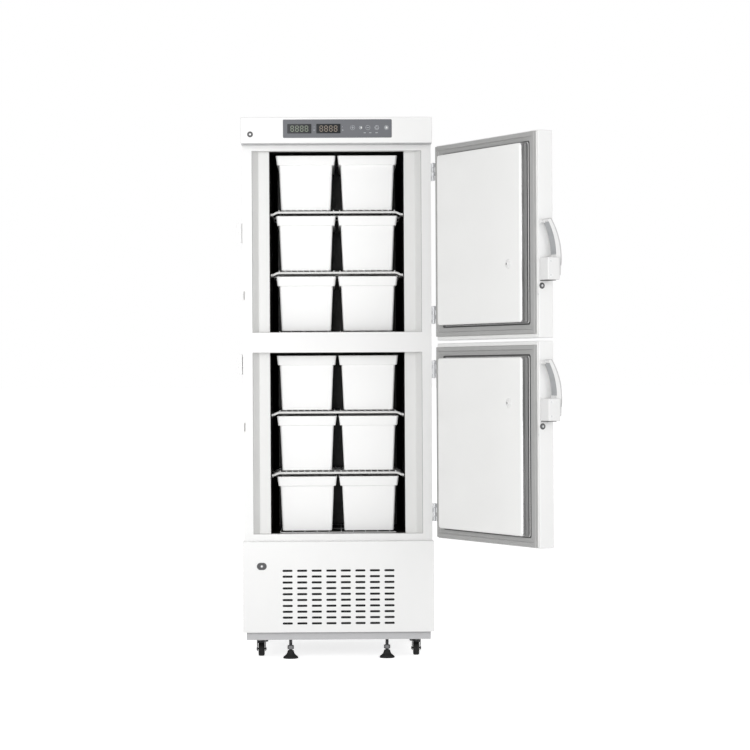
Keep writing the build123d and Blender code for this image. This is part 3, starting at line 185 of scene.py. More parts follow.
def add_turned(bm, profile, matrix, sides=48, closed=False):
    """Turns radii and heights about the local Z axis, with flat ends or as a closed ring."""
    rings = []
    for radius, height in profile:
        ring = []
        for n in range(sides):
            angle = 2 * math.pi * n / sides
            ring.append(matrix @ Vector((radius * math.cos(angle), radius * math.sin(angle), height)))
        rings.append(ring)
    stack_rings(bm, rings, closed=closed)


def in_mm(rows):
    """Radii and heights that a drawing gives in millimetres."""
    return [(radius * MM, height * MM) for radius, height in rows]


def join_mesh(bm, mesh):
    """Adds a mesh to a bmesh and removes the mesh."""
    bm.from_mesh(mesh)
    bpy.data.meshes.remove(mesh)


def join_part(bm, part):
    """Adds one bmesh to another and frees it."""
    passing = bpy.data.meshes.new("passing")
    part.to_mesh(passing)
    part.free()
    join_mesh(bm, passing)


ALONG_X = Matrix.Rotation(math.pi / 2, 4, "Y")
TOWARDS_FRONT = Matrix.Rotation(math.pi / 2, 4, "X")


def at(x, y, z, turn=None):
    """A place, and a turn there."""
    place = Matrix.Translation((x, y, z))
    return place if turn is None else place @ turn


# %% [markdown]
# ## Tubes, wires and pierced plates
# Wires and bent tubes are curves with a round bevel. Pierced sheet is a flat curve whose inner
# outlines become holes: Blender fills the sheet, gives it a thickness and rounds every edge,
# which is how a punched and painted sheet looks.

# %% Tubes and plates from curves
def mesh_of(curve, name, matrix=None):
    """Turns a curve into a mesh and removes the curve."""
    holder = bpy.data.objects.new(name, curve)
    bpy.context.scene.collection.objects.link(holder)
    mesh = bpy.data.meshes.new_from_object(holder)
    bpy.data.objects.remove(holder)
    bpy.data.curves.remove(curve)
    if matrix is not None:
        mesh.transform(matrix)
    return mesh


def add_run(curve, points, cyclic=False):
    """Adds one run of straight pieces to a curve."""
    spline = curve.splines.new("POLY")
    spline.points.add(len(points) - 1)
    for target, point in zip(spline.points, points):
        target.co = (*point, 1) if len(point) == 3 else (*point, 0, 1)
    spline.use_cyclic_u = cyclic


def bend(points, radius, steps=5):
    """Rounds the corners of a run, as a bending tool leaves them."""
    points = [Vector(p) for p in points]
    smooth = [points[0]]
    for before, corner, after in zip(points, points[1:], points[2:]):
        start = corner + (before - corner).normalized() * radius
        stop = corner + (after - corner).normalized() * radius
        for n in range(steps + 1):
            t = n / steps
            smooth.append((1 - t) ** 2 * start + 2 * t * (1 - t) * corner + t ** 2 * stop)
    smooth.append(points[-1])
    return smooth


def tube_mesh(name, runs, radius, sides=10, matrix=None):
    """Round tubes or wires along several runs, with closed ends."""
    curve = bpy.data.curves.new(name, "CURVE")
    curve.dimensions = "3D"
    curve.bevel_depth = radius
    curve.bevel_resolution = max(1, sides // 4 - 1)
    curve.use_fill_caps = True
    for points in runs:
        add_run(curve, points)
    return mesh_of(curve, name, matrix)


def pierced_plate(name, outline, holes, thickness, edge, matrix=None):
    """A flat plate in XY with holes and rounded edges, centred on its own thickness."""
    curve = bpy.data.curves.new(name, "CURVE")
    curve.dimensions = "2D"
    curve.fill_mode = "BOTH"
    curve.extrude = thickness / 2 - edge
    curve.bevel_depth = edge
    curve.bevel_resolution = 2
    curve.offset = -edge
    for run in [outline, *holes]:
        add_run(curve, run, cyclic=True)
    return mesh_of(curve, name, matrix)


# %% [markdown]
# Pockets, keyways and the hollow of a lever are milled or cast into the real parts. Here a
# boolean modifier takes them out. It is applied at once, because the model that leaves Blender
# carries plain meshes, and it stands before the weighted normals, which need the final faces.

# %% Cut one piece with another
def cut_away(target, cutters):
    """Subtracts closed meshes from a piece and keeps the result as its mesh."""
    for number, bm in enumerate(cutters):
        mesh = bpy.data.meshes.new(f"cutter_{number}")
        bmesh.ops.recalc_face_normals(bm, faces=bm.faces)
        bm.to_mesh(mesh)
        bm.free()
        tool = bpy.data.objects.new(mesh.name, mesh)
        bpy.context.scene.collection.objects.link(tool)
        step = target.modifiers.new("cut", "BOOLEAN")
        step.object, step.operation, step.solver = tool, "DIFFERENCE", "EXACT"
        target.modifiers.move(len(target.modifiers) - 1, 0)
        shading = target.modifiers["even shading"]
        shading.show_viewport = False
        bpy.context.view_layer.update()
        evaluated = target.evaluated_get(bpy.context.evaluated_depsgraph_get())
        cut = bpy.data.meshes.new_from_object(evaluated)
        shading.show_viewport = True
        target.modifiers.remove(step)
        bpy.data.objects.remove(tool)
        for polygon in cut.polygons:
            polygon.use_smooth = True
        target.data = cut


# %% [markdown]
# ## Finishes
# Every finish is a Principled shader with procedural detail in it. Object coordinates are in
# metres here, so a noise scale of 600 makes grain of about a millimetre and a half. The base
# colour carries only the pigment: light and shade come from the lamps.

# %% A finish with mottled colour, uneven gloss and a fine surface
def new_finish(
    name, color, roughness, metallic=0.0, mottle=0.03, patch=9.0,
    grain=700.0, relief=0.05, depth=0.0002, gloss_change=0.05, coat=0.0,
):
    """A material whose colour, gloss and surface vary as a real finish does."""
    material = bpy.data.materials.new(name)
    material.use_nodes = True
    nodes, links = material.node_tree.nodes, material.node_tree.links
    shader = nodes["Principled BSDF"]
    shader.inputs["Metallic"].default_value = metallic
    shader.inputs["Coat Weight"].default_value = coat
    shader.inputs["Coat Roughness"].default_value = 0.12
    place = nodes.new("ShaderNodeTexCoord")

    clouds = nodes.new("ShaderNodeTexNoise")
    clouds.inputs["Scale"].default_value = patch
    clouds.inputs["Detail"].default_value = 5.0
    links.new(place.outputs["Object"], clouds.inputs["Vector"])
    tint = nodes.new("ShaderNodeMix")
    tint.data_type = "RGBA"
    tint.inputs["A"].default_value = (*[c * (1 - mottle) for c in color], 1)
    tint.inputs["B"].default_value = (*color, 1)
    links.new(clouds.outputs["Fac"], tint.inputs["Factor"])
    links.new(tint.outputs["Result"], shader.inputs["Base Color"])

    gloss = nodes.new("ShaderNodeMapRange")
    gloss.inputs["To Min"].default_value = roughness - gloss_change
    gloss.inputs["To Max"].default_value = roughness + gloss_change
    links.new(clouds.outputs["Fac"], gloss.inputs["Value"])
    links.new(gloss.outputs["Result"], shader.inputs["Roughness"])

    fine = nodes.new("ShaderNodeTexNoise")
    fine.inputs["Scale"].default_value = grain
    fine.inputs["Detail"].default_value = 3.0
    links.new(place.outputs["Object"], fine.inputs["Vector"])
    bump = nodes.new("ShaderNodeBump")
    bump.inputs["Strength"].default_value = relief
    bump.inputs["Distance"].default_value = depth
    links.new(fine.outputs["Fac"], bump.inputs["Height"])
    links.new(bump.outputs["Normal"], shader.inputs["Normal"])
    return material


# %% [markdown]
# Powder coat on sheet steel has a faint orange peel and a satin gloss. The same recipe with
# other numbers gives the grey base rail, the vinyl gasket and the moulded plastics.

# %% Paints and plastics
enamel = new_finish("white enamel", (0.82, 0.82, 0.815), 0.30, mottle=0.015, relief=0.09, coat=0.15)
# Grey paint of the base rail, also used as painted shade under the fascia.
base_paint_and_shade = new_finish("grey base paint and painted shade", (0.50, 0.50, 0.51), 0.42, mottle=0.05, relief=0.1)
latch_paint = new_finish("latch paint", (0.77, 0.77, 0.765), 0.34, mottle=0.02, grain=900, relief=0.12)
liner_sheet = new_finish("door liner sheet", (0.89, 0.89, 0.88), 0.24, mottle=0.02, grain=260, relief=0.05)
vinyl = new_finish(
    "gasket vinyl", (0.40, 0.40, 0.395), 0.52, mottle=0.12, patch=30, grain=900, relief=0.12,
)
bin_plastic = new_finish("bin plastic", (0.93, 0.93, 0.925), 0.34, mottle=0.012, grain=420, relief=0.05)
throat_plastic = new_finish("throat moulding", (0.74, 0.74, 0.73), 0.36, mottle=0.03, grain=500, relief=0.05)
membrane = new_finish(
    "membrane film", (0.11, 0.115, 0.128), 0.42, mottle=0.05, patch=40, grain=1500, relief=0.16,
)
lens = new_finish("display lens", (0.012, 0.014, 0.016), 0.12, mottle=0.1, relief=0.01, gloss_change=0.02)
key_print = new_finish("key print", (0.42, 0.43, 0.45), 0.45, mottle=0.02, relief=0.02)
dim_segments = new_finish("dim segments", (0.23, 0.27, 0.20), 0.4, mottle=0.05, relief=0.02)
warm_segments = new_finish("warm segments", (0.27, 0.22, 0.17), 0.4, mottle=0.05, relief=0.02)
castor_paint = new_finish("castor paint", (0.022, 0.022, 0.024), 0.36, mottle=0.2, grain=800, relief=0.12)
tyre_rubber = new_finish("tyre rubber", (0.018, 0.018, 0.018), 0.72, mottle=0.3, grain=1300, relief=0.3)
foam = new_finish("rigid foam", (0.78, 0.70, 0.46), 0.9, mottle=0.12, patch=60, grain=500, relief=0.6)
# Black that is painted shade in the groove at the door panel's foot.
groove_painted_shade = new_finish("groove painted shade", (0.07, 0.07, 0.07), 0.6, mottle=0.1, relief=0.05)
lamp_white = new_finish("lamp white", (0.80, 0.80, 0.80), 0.4, mottle=0.02, relief=0.02)
# Grey that is painted shade on each lever's rounded outer bow.
bow_shade_grey = new_finish("lever cover", (0.52, 0.52, 0.52), 0.38, mottle=0.03, grain=900, relief=0.12)
# Black plastic for the fan and the gland; on the latch bases, relief vents and grille sheet it is painted
# shade.
black_plastic_and_shade = new_finish("black plastic", (0.015, 0.015, 0.016), 0.45, mottle=0.2, relief=0.1)
print("paints and plastics ready")

# %% [markdown]
# Bare and plated metal differs from paint in how unevenly it shines. The metals are the same
# recipe with the metallic socket up and a stronger change of gloss, in the order: name, colour,
# roughness, metallic, mottle, patch, grain, relief. The wire's white coat and the compressor's
# and coil's paint belong to metal parts, so they stand here too.

# %% Metals
zinc = new_finish("zinc plate", (0.56, 0.57, 0.58), 0.34, 1.0, 0.16, 26, 500, 0.1, gloss_change=0.1)
bezel_metal = new_finish("lock bezel", (0.07, 0.07, 0.072), 0.5, 0.2, 0.1, 60, 700, 0.1, gloss_change=0.06)
barrel_metal = new_finish(
    "lock barrel", (0.14, 0.14, 0.145), 0.4, 0.4, 0.06, 60, 700, 0.08, gloss_change=0.05,
)
# Grey steel that is painted shade on the wall of each door panel.
wall_shade_steel = new_finish(
    "panel trim steel", (0.62, 0.62, 0.625), 0.16, 1.0, 0.12, 9, 300, 0.05, gloss_change=0.1,
)
core_metal = new_finish("lock core", (0.72, 0.72, 0.73), 0.35, 0.3, 0.05, 60, 700, 0.06, gloss_change=0.05)
dark_zinc = new_finish("dark zinc", (0.15, 0.15, 0.155), 0.42, 0.6, 0.16, 40, 600, 0.12, gloss_change=0.08)
hinge_steel = new_finish("hinge steel", (0.60, 0.61, 0.62), 0.42, 0.4, 0.1, 60, 700, 0.12, gloss_change=0.08)
# Grey that is painted shade on the floor of each lever's hollow.
hollow_shade_grey = new_finish("lever alloy", (0.40, 0.41, 0.42), 0.45, 0.3, 0.06, 45, 900, 0.15, gloss_change=0.06)
wire_coat = new_finish("wire coat", (0.80, 0.80, 0.79), 0.32, 0.0, 0.06, 50, 600, 0.12)
pot_paint = new_finish("compressor paint", (0.02, 0.02, 0.022), 0.35, 0.0, 0.25, 25, 700, 0.12)
coil_metal = new_finish("coil metal", (0.30, 0.31, 0.32), 0.45, 0.6, 0.15, 60, 500, 0.12)
print("metals ready")

# %% [markdown]
# The cavity is lined with aluminium that was rolled with a stucco pattern, so that it hides
# scratches. Its near-black colour is painted shade of the deep cavity. Voronoi cells in the bump
# give that pattern without any extra geometry.

# %% Embossed cavity sheet
# Near-black that is painted shade of the deep, unlit cavity.
stucco = new_finish("stucco cavity painted shade", (0.016, 0.016, 0.015), 0.36, 0.2, 0.3, 14)


def emboss(material, scale, strength, distance):
    """Adds a rolled pattern of small cells over the finish's own fine grain."""
    nodes, links = material.node_tree.nodes, material.node_tree.links
    place = next(n for n in nodes if n.type == "TEX_COORD")
    grain = next(n for n in nodes if n.type == "BUMP")
    cells = nodes.new("ShaderNodeTexVoronoi")
    cells.feature = "SMOOTH_F1"
    cells.inputs["Scale"].default_value = scale
    links.new(place.outputs["Object"], cells.inputs["Vector"])
    pattern = nodes.new("ShaderNodeBump")
    pattern.inputs["Strength"].default_value = strength
    pattern.inputs["Distance"].default_value = distance
    links.new(cells.outputs["Distance"], pattern.inputs["Height"])
    links.new(pattern.outputs["Normal"], grain.inputs["Normal"])


emboss(stucco, 90, 0.5, 0.0012)
emboss(liner_sheet, 140, 0.03, 0.0003)
print("cavity sheet ready")

# %% [markdown]
# Pieces whose CAD shape is already right keep their mesh and only get a finish. These are the
# flat sheets, the cavity liners, the foam and the machinery behind the grille. Four dark
# finishes also reflect less than a shader does by default, so that they stay dark in soft light.

# %% Finishes for the CAD's own pieces
KEPT = {
    enamel: ["front_frame", "rear_panel"],
    zinc: ["compressor_deck"],
    foam: ["foam_body", "upper_door_core", "lower_door_core"],
    stucco: ["upper_liner", "lower_liner"],
    base_paint_and_shade: ["base_frame"],
    coil_metal: ["condenser_unit"],
    black_plastic_and_shade: ["fan_blades"],
}
for finish, names in KEPT.items():
    for name in names:
        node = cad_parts[name]
        node.data.materials.clear()
        node.data.materials.append(finish)
LOW_REFLECTION = ((lens, 0.2), (tyre_rubber, 0.25), (black_plastic_and_shade, 0.25), (groove_painted_shade, 0.3))
for finish, level in LOW_REFLECTION:
    for shader in finish.node_tree.nodes:
        if shader.type == "BSDF_PRINCIPLED":
            shader.inputs["Specular IOR Level"].default_value = level
print("finishes on", sum(len(names) for names in KEPT.values()), "CAD pieces")

# %% [markdown]
# ## Cabinet wrap
# One painted sheet goes up the left side, over the top and down the right side. It is bent
# round a 5 mm tool at both top corners, so the outline is drawn once and pushed to the back.

# %% Wrap with rolled top corners
SHEET = 1 * MM
FRAME_SHEET = 1.2 * MM
WRAP_CORNER_R = 5 * MM
GRILLE_LOW, GRILLE_TOP = 94 * MM, 408 * MM


def arch(half, top, r, steps=6):
    """An upside-down U from foot to foot, with rounded top corners."""
    points = [(half, GRILLE_LOW)]
    for n in range(steps + 1):
        angle = math.radians(90 * n / steps)
        points.append((half - r + r * math.cos(angle), top - r + r * math.sin(angle)))
    return points + [(-x, z) for x, z in reversed(points)]


def add_prism(bm, outline, y0, y1):
    """Pushes an outline in XZ along Y and closes both ends."""
    rings = [[(x, y, z) for x, z in outline] for y in (y0, y1)]
    stack_rings(bm, rings)


def cabinet_wrap():
    """The painted sheet over both sides and the top."""
    bm = bmesh.new()
    outer = arch(CABINET_HALF, TOP_Z, WRAP_CORNER_R)
    inner = arch(CABINET_HALF - SHEET, TOP_Z - SHEET, WRAP_CORNER_R - SHEET)
    add_prism(bm, outer + inner[::-1], FRONT_Y + FRAME_SHEET, BACK_Y - SHEET)
    add_piece("cabinet wrap", bm, enamel, "cabinet", ["cabinet_wrap"])


cabinet_wrap()
print("cabinet wrap ready")

# %% [markdown]
# The front frame has a slot below each latch, where the door lock's bolt goes in. Behind it the
# sheet forms a shallow pocket. The frame's own mesh could be given one, but a separate tray of
# three thin boxes behind each slot looks the same, and no foam shows through it.

# %% Bolt slot trays
TRAY_X, TRAY_DEPTH = -324.5 * MM, 12.5 * MM
TRAY_DROP, TRAY_HEIGHT = 90 * MM, 40 * MM
TRAY_HALF, TRAY_BACK_HALF = 2.4 * MM, 4 * MM
TRAY_GAP = 1.4 * MM

bm = bmesh.new()
tray_y = FRONT_Y + TRAY_DEPTH
for z in LATCH_HEIGHTS.values():
    low, high = z - TRAY_DROP, z - TRAY_DROP + TRAY_HEIGHT
    add_box(bm, (TRAY_X - TRAY_BACK_HALF, tray_y, low), (TRAY_X + TRAY_BACK_HALF, tray_y + SHEET, high))
    for side in (-1, 1):
        x0, x1 = sorted((TRAY_X + side * TRAY_HALF, TRAY_X + side * (TRAY_HALF + SHEET)))
        add_box(bm, (x0, FRONT_Y + TRAY_GAP, low), (x1, tray_y, high))
add_piece("bolt slot trays", bm, enamel, "cabinet")
print("bolt slot trays ready")

# %% [markdown]
# ## Throat mouldings
# Between the front frame and the dark cavity sits a light grey plastic moulding. It slopes in
# behind the frame and ends in a flat shoulder, whose inner edge is rounded and catches light.
# The top and bottom are plain strips, because the cavity is as tall as the opening. A section
# that is pushed upwards keeps the slope and the nose exact over the whole height.

# %% Throat mouldings
CAVITY_HALF = 236 * MM
SHOULDER_Y = FRONT_Y + 36 * MM
CAVITY_FRONT_Y = SHOULDER_Y + 2 * MM
STRIP = 2 * MM


def add_throat(bm, z0):
    """Adds the side mouldings and the top and bottom strips of one opening."""
    z1 = z0 + OPENING_HEIGHT
    toe = OPENING_HALF - 20 * MM
    nose_r = 2 * MM
    for side in (1, -1):
        outline = [
            (OPENING_HALF, FRONT_Y), (toe + 3 * MM, SHOULDER_Y - 4 * MM), (toe - 3 * MM, SHOULDER_Y),
        ]
        for n in range(9):
            angle = math.radians(-90 - 180 * n / 8)
            outline.append((
                CAVITY_HALF + nose_r + nose_r * math.cos(angle),
                SHOULDER_Y + nose_r / 2 + nose_r * math.sin(angle),
            ))
        outline += [(toe + 0.5 * MM, CAVITY_FRONT_Y), (OPENING_HALF, FRONT_Y + 4 * MM)]
        rings = [[(side * x, y, z) for x, y in outline] for z in (z0, z1)]
        stack_rings(bm, rings)
    for low in (z0 - STRIP, z1):
        add_box(
            bm, (-OPENING_HALF, FRONT_Y + FRAME_SHEET, low), (OPENING_HALF, CAVITY_FRONT_Y, low + STRIP),
        )


mouldings = bmesh.new()
for z0 in COMPARTMENTS.values():
    add_throat(mouldings, z0)
add_piece("throat mouldings", mouldings, throat_plastic, "cabinet", ["throat_frames"])
print("throat mouldings ready")

# %% [markdown]
# A thin grey bead closes the joint between the frame and the moulding all round. It lies just
# behind the frame's face, so that the gasket of a shut door doesn't touch it. Four straight
# tubes for each opening are enough, because the corners are too small to show a mitre.

# %% Throat beads
BEAD_R, BEAD_SETBACK = 1.1 * MM, 0.95 * MM

beads = bmesh.new()
for z0 in COMPARTMENTS.values():
    z1 = z0 + OPENING_HEIGHT
    y = FRONT_Y + BEAD_SETBACK
    corners = [(-OPENING_HALF, z0), (OPENING_HALF, z0), (OPENING_HALF, z1), (-OPENING_HALF, z1)]
    for (x0, low), (x1, high) in zip(corners, corners[1:] + corners[:1]):
        join_mesh(beads, tube_mesh("bead", [[(x0, y, low), (x1, y, high)]], BEAD_R, 8))
add_piece("throat beads", beads, vinyl, "cabinet")
print("throat beads ready")

# %% [markdown]
# ## Storage bins
# Twelve white moulded bins stand on the shelves. Each has a tapered body, a step and a wide
# collar with a rolled lip, so that hands and stacked bins find an edge. A shell modifier would
# give an even wall, but a moulded bin's lip is thicker. So the wall is drawn as one stack of
# rounded outlines, up the outside and down the inside.

# %% Storage bins
BIN_RIM = (211 * MM, 440 * MM)
# Each row is inset from the rim, height and corner radius in millimetres, up the outside
BIN_OUTSIDE = [
    (22.0, 0.0, 4), (19.4, 0.8, 6), (18.3, 3.0, 7), (11.4, 156.0, 8), (11.1, 158.6, 8),
    (5.0, 159.0, 8), (4.4, 160.0, 8), (0.9, 189.0, 8), (0.2, 189.6, 9), (0.0, 190.6, 9),
    (0.4, 191.7, 9), (1.4, 192.0, 8),
]
# The same up the inside, from the floor to the rim
BIN_INSIDE = [
    (25.0, 2.5, 3), (22.0, 3.3, 4), (20.8, 6.0, 5), (13.9, 160.5, 6), (13.2, 161.6, 6),
    (7.6, 162.2, 6), (3.4, 190.6, 6), (2.6, 191.7, 7),
]


def bin_ring(inset, height, corner):
    """One outline of the bin's wall."""
    half_x, half_y = BIN_RIM[0] / 2 - inset * MM, BIN_RIM[1] / 2 - inset * MM
    return [(x, y, height * MM) for x, y in rounded_outline(half_x, half_y, corner * MM, 5)]


def bin_mesh():
    """One bin about its own middle, standing on Z = 0."""
    bm = bmesh.new()
    rows = BIN_OUTSIDE + BIN_INSIDE[::-1]
    stack_rings(bm, [bin_ring(*row) for row in rows])
    return bm


for node_name in sorted(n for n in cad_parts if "_bin_" in n):
    low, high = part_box(node_name)
    place = Matrix.Translation(((low[0] + high[0]) / 2, (low[1] + high[1]) / 2, low[2]))
    row, side = node_name.split("_bin_")
    add_piece(
        f"storage bin {row} {side}".replace("_", " "), bin_mesh(), bin_plastic,
        f"{row}_{side}_bin", [node_name], matrix=place,
    )

# %% [markdown]
# ## Cooling shelves
# A refrigerant tube runs to and fro under each shelf, and steel wires lie on it. The wires'
# front ends lie flush with the front tube, which makes the toothed edge under each bin.
# A flat rack of thinner wires lies on each cavity floor. Curves with a round bevel give all of
# these, and their ends are closed, because the ends face the camera.

# %% Cooling shelves
WIRE_PITCH = 21.4 * MM
WIRE_COUNT = 20
WIRE_R = 2.0 * MM
TUBE_R = 4.0 * MM
SHELF_FRONT_Y, SHELF_BACK_Y = -236 * MM, 223 * MM
ROW_PITCH = 213 * MM
TUBE_DROP = 8 * MM
TUBE_BEND_R = 8 * MM
TUBE_SIDE, TUBE_END = 7 * MM, 15 * MM
RAIL_OUT = 4.2 * MM
RAIL_SHORT = 20 * MM
RACK_WIRE_R = 1.5 * MM
RACK_TOP = 6 * MM
WIRE_XS = [(n - (WIRE_COUNT - 1) / 2) * WIRE_PITCH for n in range(WIRE_COUNT)]


def shelf_runs(top):
    """The wires, tubes and side rails of one cooling shelf whose wires end at this height."""
    wires, tubes = [], []
    z = top - WIRE_R
    for x in WIRE_XS:
        wires.append([(x, SHELF_BACK_Y, z), (x, SHELF_FRONT_Y, z)])
    tube_z = top - 2 * WIRE_R - TUBE_R
    low_z = tube_z - TUBE_DROP
    flat = WIRE_XS[-1] + TUBE_SIDE
    end = flat + TUBE_END
    for n in range(3):
        y = SHELF_FRONT_Y + TUBE_R + n * (SHELF_BACK_Y - SHELF_FRONT_Y - RAIL_SHORT - 2 * TUBE_R) / 2
        run = [(-end, y, low_z), (-flat, y, tube_z), (flat, y, tube_z), (end, y, low_z)]
        tubes.append(bend(run, TUBE_BEND_R))
    rail = end + RAIL_OUT
    for side in (1, -1):
        tubes.append([
            (side * rail, SHELF_FRONT_Y + 1 * MM, low_z),
            (side * rail, SHELF_BACK_Y - RAIL_SHORT - 1 * MM, low_z),
        ])
    return wires, tubes


def rack_runs(top):
    """The wires of the flat rack on a cavity's floor."""
    r = RACK_WIRE_R
    runs = [[(x, SHELF_FRONT_Y, top - r), (x, SHELF_BACK_Y, top - r)] for x in WIRE_XS[::2]]
    for n in range(3):
        y = SHELF_FRONT_Y + TUBE_R + n * (SHELF_BACK_Y - SHELF_FRONT_Y - 2 * TUBE_R) / 2
        runs.append([(WIRE_XS[0], y, top - 3 * r), (WIRE_XS[-1], y, top - 3 * r)])
    return runs


for name, z0 in COMPARTMENTS.items():
    floor = z0 + RACK_TOP
    wires, tubes = [], []
    for row in (1, 2):
        more_wires, more_tubes = shelf_runs(floor + row * ROW_PITCH)
        wires += more_wires
        tubes += more_tubes
    joined = bmesh.new()
    join_mesh(joined, tube_mesh("wires", wires, WIRE_R, 8))
    join_mesh(joined, tube_mesh("tubes", tubes, TUBE_R, 16))
    join_mesh(joined, tube_mesh("rack", rack_runs(floor), RACK_WIRE_R, 8))
    add_piece(f"{name} cooling shelves", joined, wire_coat, "cabinet", [f"{name}_shelves"])
print("shelves ready")

# %% [markdown]
# ## Doors
# Each door is drawn shut, as it is built, and then swung about its hinge pin with one matrix,
# so that the outline stays square to the cabinet. The outer skin is a folded tray with small
# rounded edges. A bore in its free edge takes the lock, and a pocket beside it the bolt.

# %% Door skins
LOCK_DROP = 55 * MM
LOCK_Y = DOOR_BACK_Y - 12 * MM
LOCK_BORE_R, LOCK_BORE_DEPTH = 9 * MM, 21 * MM
# The bolt's pocket, from the door's edge inwards, and from the lock's axis to each side
POCKET_START, POCKET_STOP = 3 * MM, 8 * MM
POCKET_SIDE, POCKET_DOWN, POCKET_UP = 5 * MM, 33 * MM, 5 * MM


def door_skin(name):
    """The painted tray of one door, with the lock's bore and the bolt's pocket."""
    z0 = DOOR_LOWS[name]
    bm = bmesh.new()
    add_box(bm, (DOOR_LEFT, FACE_Y, z0), (DOOR_RIGHT, DOOR_BACK_Y, z0 + DOOR_HEIGHT))
    skin = add_piece(
        f"{name} door skin", bm, enamel, f"{name}_door",
        [f"{name}_door_skin", f"{name}_door_core"], round_by=2.5 * MM, steps=4,
    )
    z = LATCH_HEIGHTS[name] - LOCK_DROP
    pocket = bmesh.new()
    add_box(
        pocket, (DOOR_LEFT + POCKET_START, LOCK_Y - POCKET_SIDE, z - POCKET_DOWN),
        (DOOR_LEFT + POCKET_STOP, DOOR_BACK_Y + 1 * MM, z + POCKET_UP),
    )
    bore = bmesh.new()
    section = [(LOCK_BORE_R, -1 * MM), (LOCK_BORE_R, LOCK_BORE_DEPTH)]
    add_turned(bore, section, at(DOOR_LEFT, LOCK_Y, z, ALONG_X), 32)
    cut_away(skin, [pocket, bore])
    skin.data.transform(SWING)


for name in DOOR_LOWS:
    door_skin(name)
print("door skins ready")

# %% [markdown]
# The inner liner is one thermoformed sheet: a flange that clamps the gasket, a groove round
# the raised panel, walls with draft and a flat face. It is a stack of rounded rectangles from
# the flange to the face, each with its own inset, height and corner radius.

# %% Door liners
def door_rectangle(name, margins, y, corner, steps=6):
    """A rounded rectangle on a shut door. Margins are side, mullion side and outer side."""
    side, mullion, outer = margins
    z0 = DOOR_LOWS[name]
    low, high = (mullion, outer) if name == "upper" else (outer, mullion)
    x0, x1 = DOOR_LEFT + side, DOOR_RIGHT - side
    z_low, z_high = z0 + low, z0 + DOOR_HEIGHT - high
    outline = rounded_outline((x1 - x0) / 2, (z_high - z_low) / 2, corner, steps)
    return [((x0 + x1) / 2 + u, y, (z_low + z_high) / 2 + v) for u, v in outline]


FLANGE_RISE = 2
FLANGE_MARGINS, FLANGE_CORNER_R = (8, 4, 4), 4 * MM
# Each row is the inset and the height over the door's back
FLANGE_STEPS = ((0.0, 0.0), (0.0, 1.6), (0.5, FLANGE_RISE))
# The panel's margins at the side, mullion side and outer side, where its wall has this inset
PANEL_MARGINS, WALL_INSET = (57, 51, 38), 2.6
# Each row is the inset from the panel's foot, the height above the flange and the corner radius
PANEL_STEPS = [
    (0.0, 0.0, 9), (0.3, 1.2, 9), (1.6, 3.0, 9), (2.6, 10.0, 9), (3.6, 27.0, 9),
    (4.4, 29.8, 9), (6.4, 31.9, 8.5), (9.0, 32.9, 8), (12.0, 33.0, 7),
]


def panel_ring(name, inset, rise, corner):
    """An outline of the raised panel, by one row of its steps."""
    margins = [(margin + inset - WALL_INSET) * MM for margin in PANEL_MARGINS]
    return door_rectangle(name, margins, DOOR_BACK_Y + (FLANGE_RISE + rise) * MM, corner * MM)


def door_liner(name):
    """The flange and the raised panel of one door."""
    bm = bmesh.new()
    rings = []
    for inset, rise in FLANGE_STEPS:
        margins = [(margin + inset) * MM for margin in FLANGE_MARGINS]
        rings.append(door_rectangle(name, margins, DOOR_BACK_Y + rise * MM, FLANGE_CORNER_R))
    rings += [panel_ring(name, *step) for step in PANEL_STEPS]
    stack_rings(bm, rings)
    add_piece(
        f"{name} door liner", bm, liner_sheet, f"{name}_door",
        [f"{name}_door_liner"], matrix=SWING,
    )


# A grey steel band follows the panel's wall, a little outside it, as painted shade on that wall
WALL_SHADE_STEPS = [(1.2, 2.4, 9), (2.1, 10.0, 9), (3.1, 27.0, 9), (3.5, 28.6, 9), (4.6, 28.0, 9), (3.6, 3.0, 9)]


def panel_wall_shade(name):
    """The steel band of painted shade round one panel's edge."""
    bm = bmesh.new()
    stack_rings(bm, [panel_ring(name, *step) for step in WALL_SHADE_STEPS], closed=True)
    add_piece(f"{name} panel trim", bm, wall_shade_steel, f"{name}_door", matrix=SWING)


for name in DOOR_LOWS:
    door_liner(name)
    panel_wall_shade(name)
print("door liners ready")

# %% [markdown]
# A pressure relief knob sits on the panel near the latch, and lets air in when the cold cabinet
# pulls its door shut. It is a low turned button, so a profile is turned about its axis. The
# dark vent in its middle is a second short cylinder of painted shade, which needs no cut.

# %% Relief knobs
PANEL_FACE_Y = DOOR_BACK_Y + 35 * MM
KNOB_X, KNOB_RISE = DOOR_LEFT + 133 * MM, 21 * MM
TOWARDS_BACK = Matrix.Rotation(-math.pi / 2, 4, "X")
KNOB_PROFILE = [
    (16, -1), (16, 0.8), (15.2, 1.8), (12.4, 2.8), (9.6, 3.6), (8.8, 4.6), (8.2, 7.2), (7.2, 7.9),
    (4.4, 8.0), (3.9, 7.6), (3.7, 3.0),
]
VENT_SHADE_PROFILE = [(3.8, 2.4), (3.8, 5.2)]

for name in DOOR_LOWS:
    out = at(KNOB_X, PANEL_FACE_Y, LATCH_HEIGHTS[name] + KNOB_RISE, TOWARDS_BACK)
    bm = bmesh.new()
    add_turned(bm, in_mm(KNOB_PROFILE), out, 40)
    add_piece(f"{name} relief knob", bm, latch_paint, f"{name}_door", matrix=SWING)
    bm = bmesh.new()
    add_turned(bm, in_mm(VENT_SHADE_PROFILE), out, 24)
    add_piece(f"{name} relief vent", bm, black_plastic_and_shade, f"{name}_door", matrix=SWING)
print("relief knobs ready")

# %% [markdown]
# The magnetic gasket is extruded vinyl, cut and welded at the corners. Its section has a flat
# foot, a soft bellows and a square bulb that holds the magnet strip. The section is swept
# round the door with sharp mitred corners.

